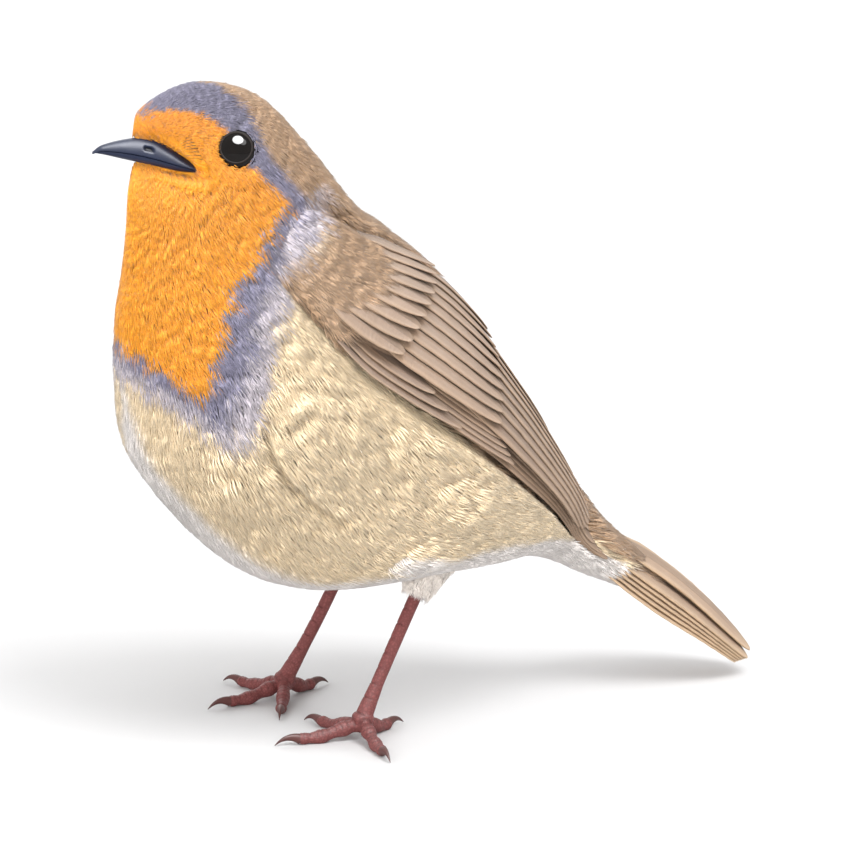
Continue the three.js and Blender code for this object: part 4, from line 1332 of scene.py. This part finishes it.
def bill_half(upper):
    """One half of the bill. The upper one ends in a slight hook over the lower one."""
    t = np.linspace(0, 1, 150)
    x, mouth, half, above, below = curve(BILL_SECTIONS, clamped=True)(t).T
    if upper:
        name, sign, height, blunt = "bill_upper", 1, above + 0.12, 0.97
        mouth = mouth - 0.3 * smooth(t, 0.86, 1.0)
        half = half * 1.03 + 0.03
    else:
        name, sign, height, blunt = "bill_lower", -1, below, 0.85
        x = x + 0.45 * smooth(t, 0.85, 1)
        half = half * 0.97
    angle = np.linspace(0, math.pi, 49)
    rise = np.sin(angle) ** blunt
    y = half[:, None] * np.cos(angle)
    z = (mouth + sign * MOUTH_GAP)[:, None] + sign * height[:, None] * rise
    points = np.stack([np.broadcast_to(x[:, None], y.shape), y, z], -1)
    dent = np.zeros(y.shape)
    if upper:
        long = (x[:, None] - NOSTRIL["x"]) / NOSTRIL["long"]
        high = (z - mouth[:, None] - NOSTRIL["level"]) / NOSTRIL["high"]
        dent = np.exp(-(long**4) - high**4)
        points[..., 1] -= np.sign(y) * NOSTRIL["deep"] * dent
    verts, faces = tube(turned(points))
    # Painted shade: the nostril's hollow is darkened by up to 85%. The horn is also darker toward the tip and
    # near the mouth line.
    tone = (1 - 0.12 * smooth(-x, 27, 35))[:, None] * (1 - 0.85 * dent) * (0.86 + 0.18 * rise)
    tone = np.concatenate([tone.ravel(), [1.0, 0.85]])
    piece = mesh_piece(f"{name}_horn", verts, faces, BILL_HORN, tint=BILL_COLOUR * tone[:, None])
    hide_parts(name)


def bristles():
    """The short stiff bristles over the corners of the mouth."""
    rng = np.random.default_rng(SEED + 50)
    parts = []
    t = np.linspace(0, 1, 8)
    droop = np.multiply.outer(t**2, [0.0, 0.0, -0.4])
    for side in SIDES:
        for k in range(BRISTLES):
            along, around = 0.19 + 0.008 * k, side * math.radians(66 + 1.6 * k)
            root = plumage(along, around, -0.2)
            way = unit(plumage(along - 0.03, around + side * 0.05, 1.4 + rng.uniform(-0.2, 0.2)) - root)
            points = root + np.multiply.outer(t * rng.uniform(1.9, 2.6), way) + droop
            parts.append(tube(limb_rings(points, BRISTLE_RADIUS * (1 - 0.85 * t), 5)))
    verts, faces = joined(parts)
    mesh_piece("bristles", verts, faces, CLAW_HORN, tint=BRISTLE_COLOUR)


# ---- eyes


def eye(side):
    name = f"eye_{SIDES[side]}"
    centre, out = eye_place(side)
    across, above = cross_axes(out)
    ahead = -across
    verts, faces = ball(centre, EYE["radius"] * np.array([ahead, above, out]), 0.02, 48, 64)
    piece = mesh_piece(f"{name}_ball", verts, faces, EYE_GLOSS)
    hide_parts(name)

    # the lids, one wrinkled ring round the opening, thicker above
    t, turn = (np.linspace(0, TURN, count, endpoint=False) for count in (72, 14))
    c, s = np.cos(t), np.sin(t)
    radius = LID["radius"] * (1 - 0.02 * np.abs(s))
    depth = np.sqrt(EYE["radius"] ** 2 - radius**2) + 0.02
    ring = radius[:, None] * (c[:, None] * ahead + s[:, None] * above)
    rim = between((LID["rim"], LID["upper_rim"]), smooth(s, -0.2, 0.8))[:, None]
    wrinkle = 1 + 0.05 * np.sin(t * 23)[:, None] * np.cos(turn)
    section = (rim * np.cos(turn) * wrinkle)[..., None] * unit(ring)[:, None]
    section = section + (rim * 0.8 * np.sin(turn))[..., None] * out
    verts = (centre + depth[:, None, None] * out + ring[:, None] + section).reshape(-1, 3)
    faces = outward(verts, tube_faces(len(t), len(turn), closed=True))
    mesh_piece(f"{name}_lids", verts, faces, LID_SKIN, tint=LID_COLOUR)


# ---- stage, light and camera

VIEW_AZIMUTH, VIEW_ELEVATION = math.radians(-22), math.radians(12)
CAMERA_PLACE = (-210.98, -555.07, 169.46)  # in the bird's own frame
FLOOR_SIZE = 6.0
CATCHLIGHT = (0.08, 0.5)  # where the left eye mirrors it: right and up from its opening's middle, in radii


def stage():
    mesh = bpy.data.meshes.new("floor")
    h = FLOOR_SIZE / 2
    mesh.from_pydata([(-h, -h, 0), (h, -h, 0), (h, h, 0), (-h, h, 0)], [], [(0, 1, 2, 3)])
    mesh.materials.append(FLOOR)
    linked("floor", mesh)


def view_axes():
    """The camera's right, up and back."""
    az, el = VIEW_AZIMUTH, VIEW_ELEVATION
    back = np.array([math.sin(az) * math.cos(el), -math.cos(az) * math.cos(el), math.sin(el)])
    right = np.array([math.cos(az), math.sin(az), 0.0])
    return right, np.cross(back, right), back


def camera():
    data = bpy.data.cameras.new("camera")
    data.lens, data.sensor_width = 180.0, 36.0
    data.clip_start, data.clip_end = 0.05, 20.0
    viewer = linked("camera", data)
    matrix = Matrix(np.column_stack(view_axes()).tolist()).to_4x4()
    matrix.translation = Vector(placed(CAMERA_PLACE))
    viewer.matrix_world = matrix
    bpy.context.scene.camera = viewer


def lamp(name, direction, distance, size, brightness, target, diffuse=True, glossy=True):
    """A round soft light. direction is in the camera's axes: right, up and back; brightness is how bright a
    white card at the target is."""
    way = unit(np.array(direction) @ np.array(view_axes()))
    data = bpy.data.lights.new(name, "AREA")
    data.shape = "DISK"
    data.size = size
    data.energy = brightness * math.pi**2 * distance**2
    light = linked(name, data)
    light.location = Vector(target + way * distance)
    light.rotation_euler = Vector(way).to_track_quat("Z", "Y").to_euler()
    light.visible_camera = False
    light.visible_diffuse = diffuse
    light.visible_glossy = glossy


def way_to_catchlight():
    """The direction from the left eye, in the camera's axes, of a lamp that shows at CATCHLIGHT."""
    right, up, _ = view_axes()
    _, gaze = eye_place(1)
    share = LID["radius"] / EYE["radius"]
    x, y = gaze @ right + CATCHLIGHT[0] * share, gaze @ up + CATCHLIGHT[1] * share
    facing = math.sqrt(1 - x * x - y * y)
    return 2 * facing * x, 2 * facing * y, 2 * facing**2 - 1


def lights():
    middle = placed([0.0, 0.0, 45.0])
    lamp("key", (0.45, 0.75, 0.6), 1.4, 0.8, 0.68, middle)
    lamp("fill", (-0.6, 0.05, 0.8), 1.6, 1.4, 0.5, middle, glossy=False)
    lamp("rim", (-0.2, 0.7, -0.8), 1.4, 0.8, 0.4, middle)
    lamp("low", (-0.25, -0.16, 0.95), 1.3, 0.9, 0.44, middle, glossy=False)
    lamp("catchlight", way_to_catchlight(), 0.5, 0.42, 10.0, placed(eye_place(1)[0]), diffuse=False)
    world = bpy.data.worlds.new("studio")
    world.use_nodes = True
    background = world.node_tree.nodes["Background"]
    background.inputs["Color"].default_value = (1, 1, 1, 1)
    background.inputs["Strength"].default_value = 0.95
    bpy.context.scene.world = world
    bpy.context.scene.view_settings.view_transform = "Standard"


# ---- the bird

body_skin = skin()
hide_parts("head", "neck", "torso", "rump", "thigh_left", "thigh_right")
coat()
for side in SIDES:
    wing(side)
    eye(side)
    eye_ring(side)
tail()
tail_coverts()
for foot in FEET:
    thigh_coat(foot)
    leg(foot)
bill_half(True)
bill_half(False)
bristles()

stage()
camera()
lights()
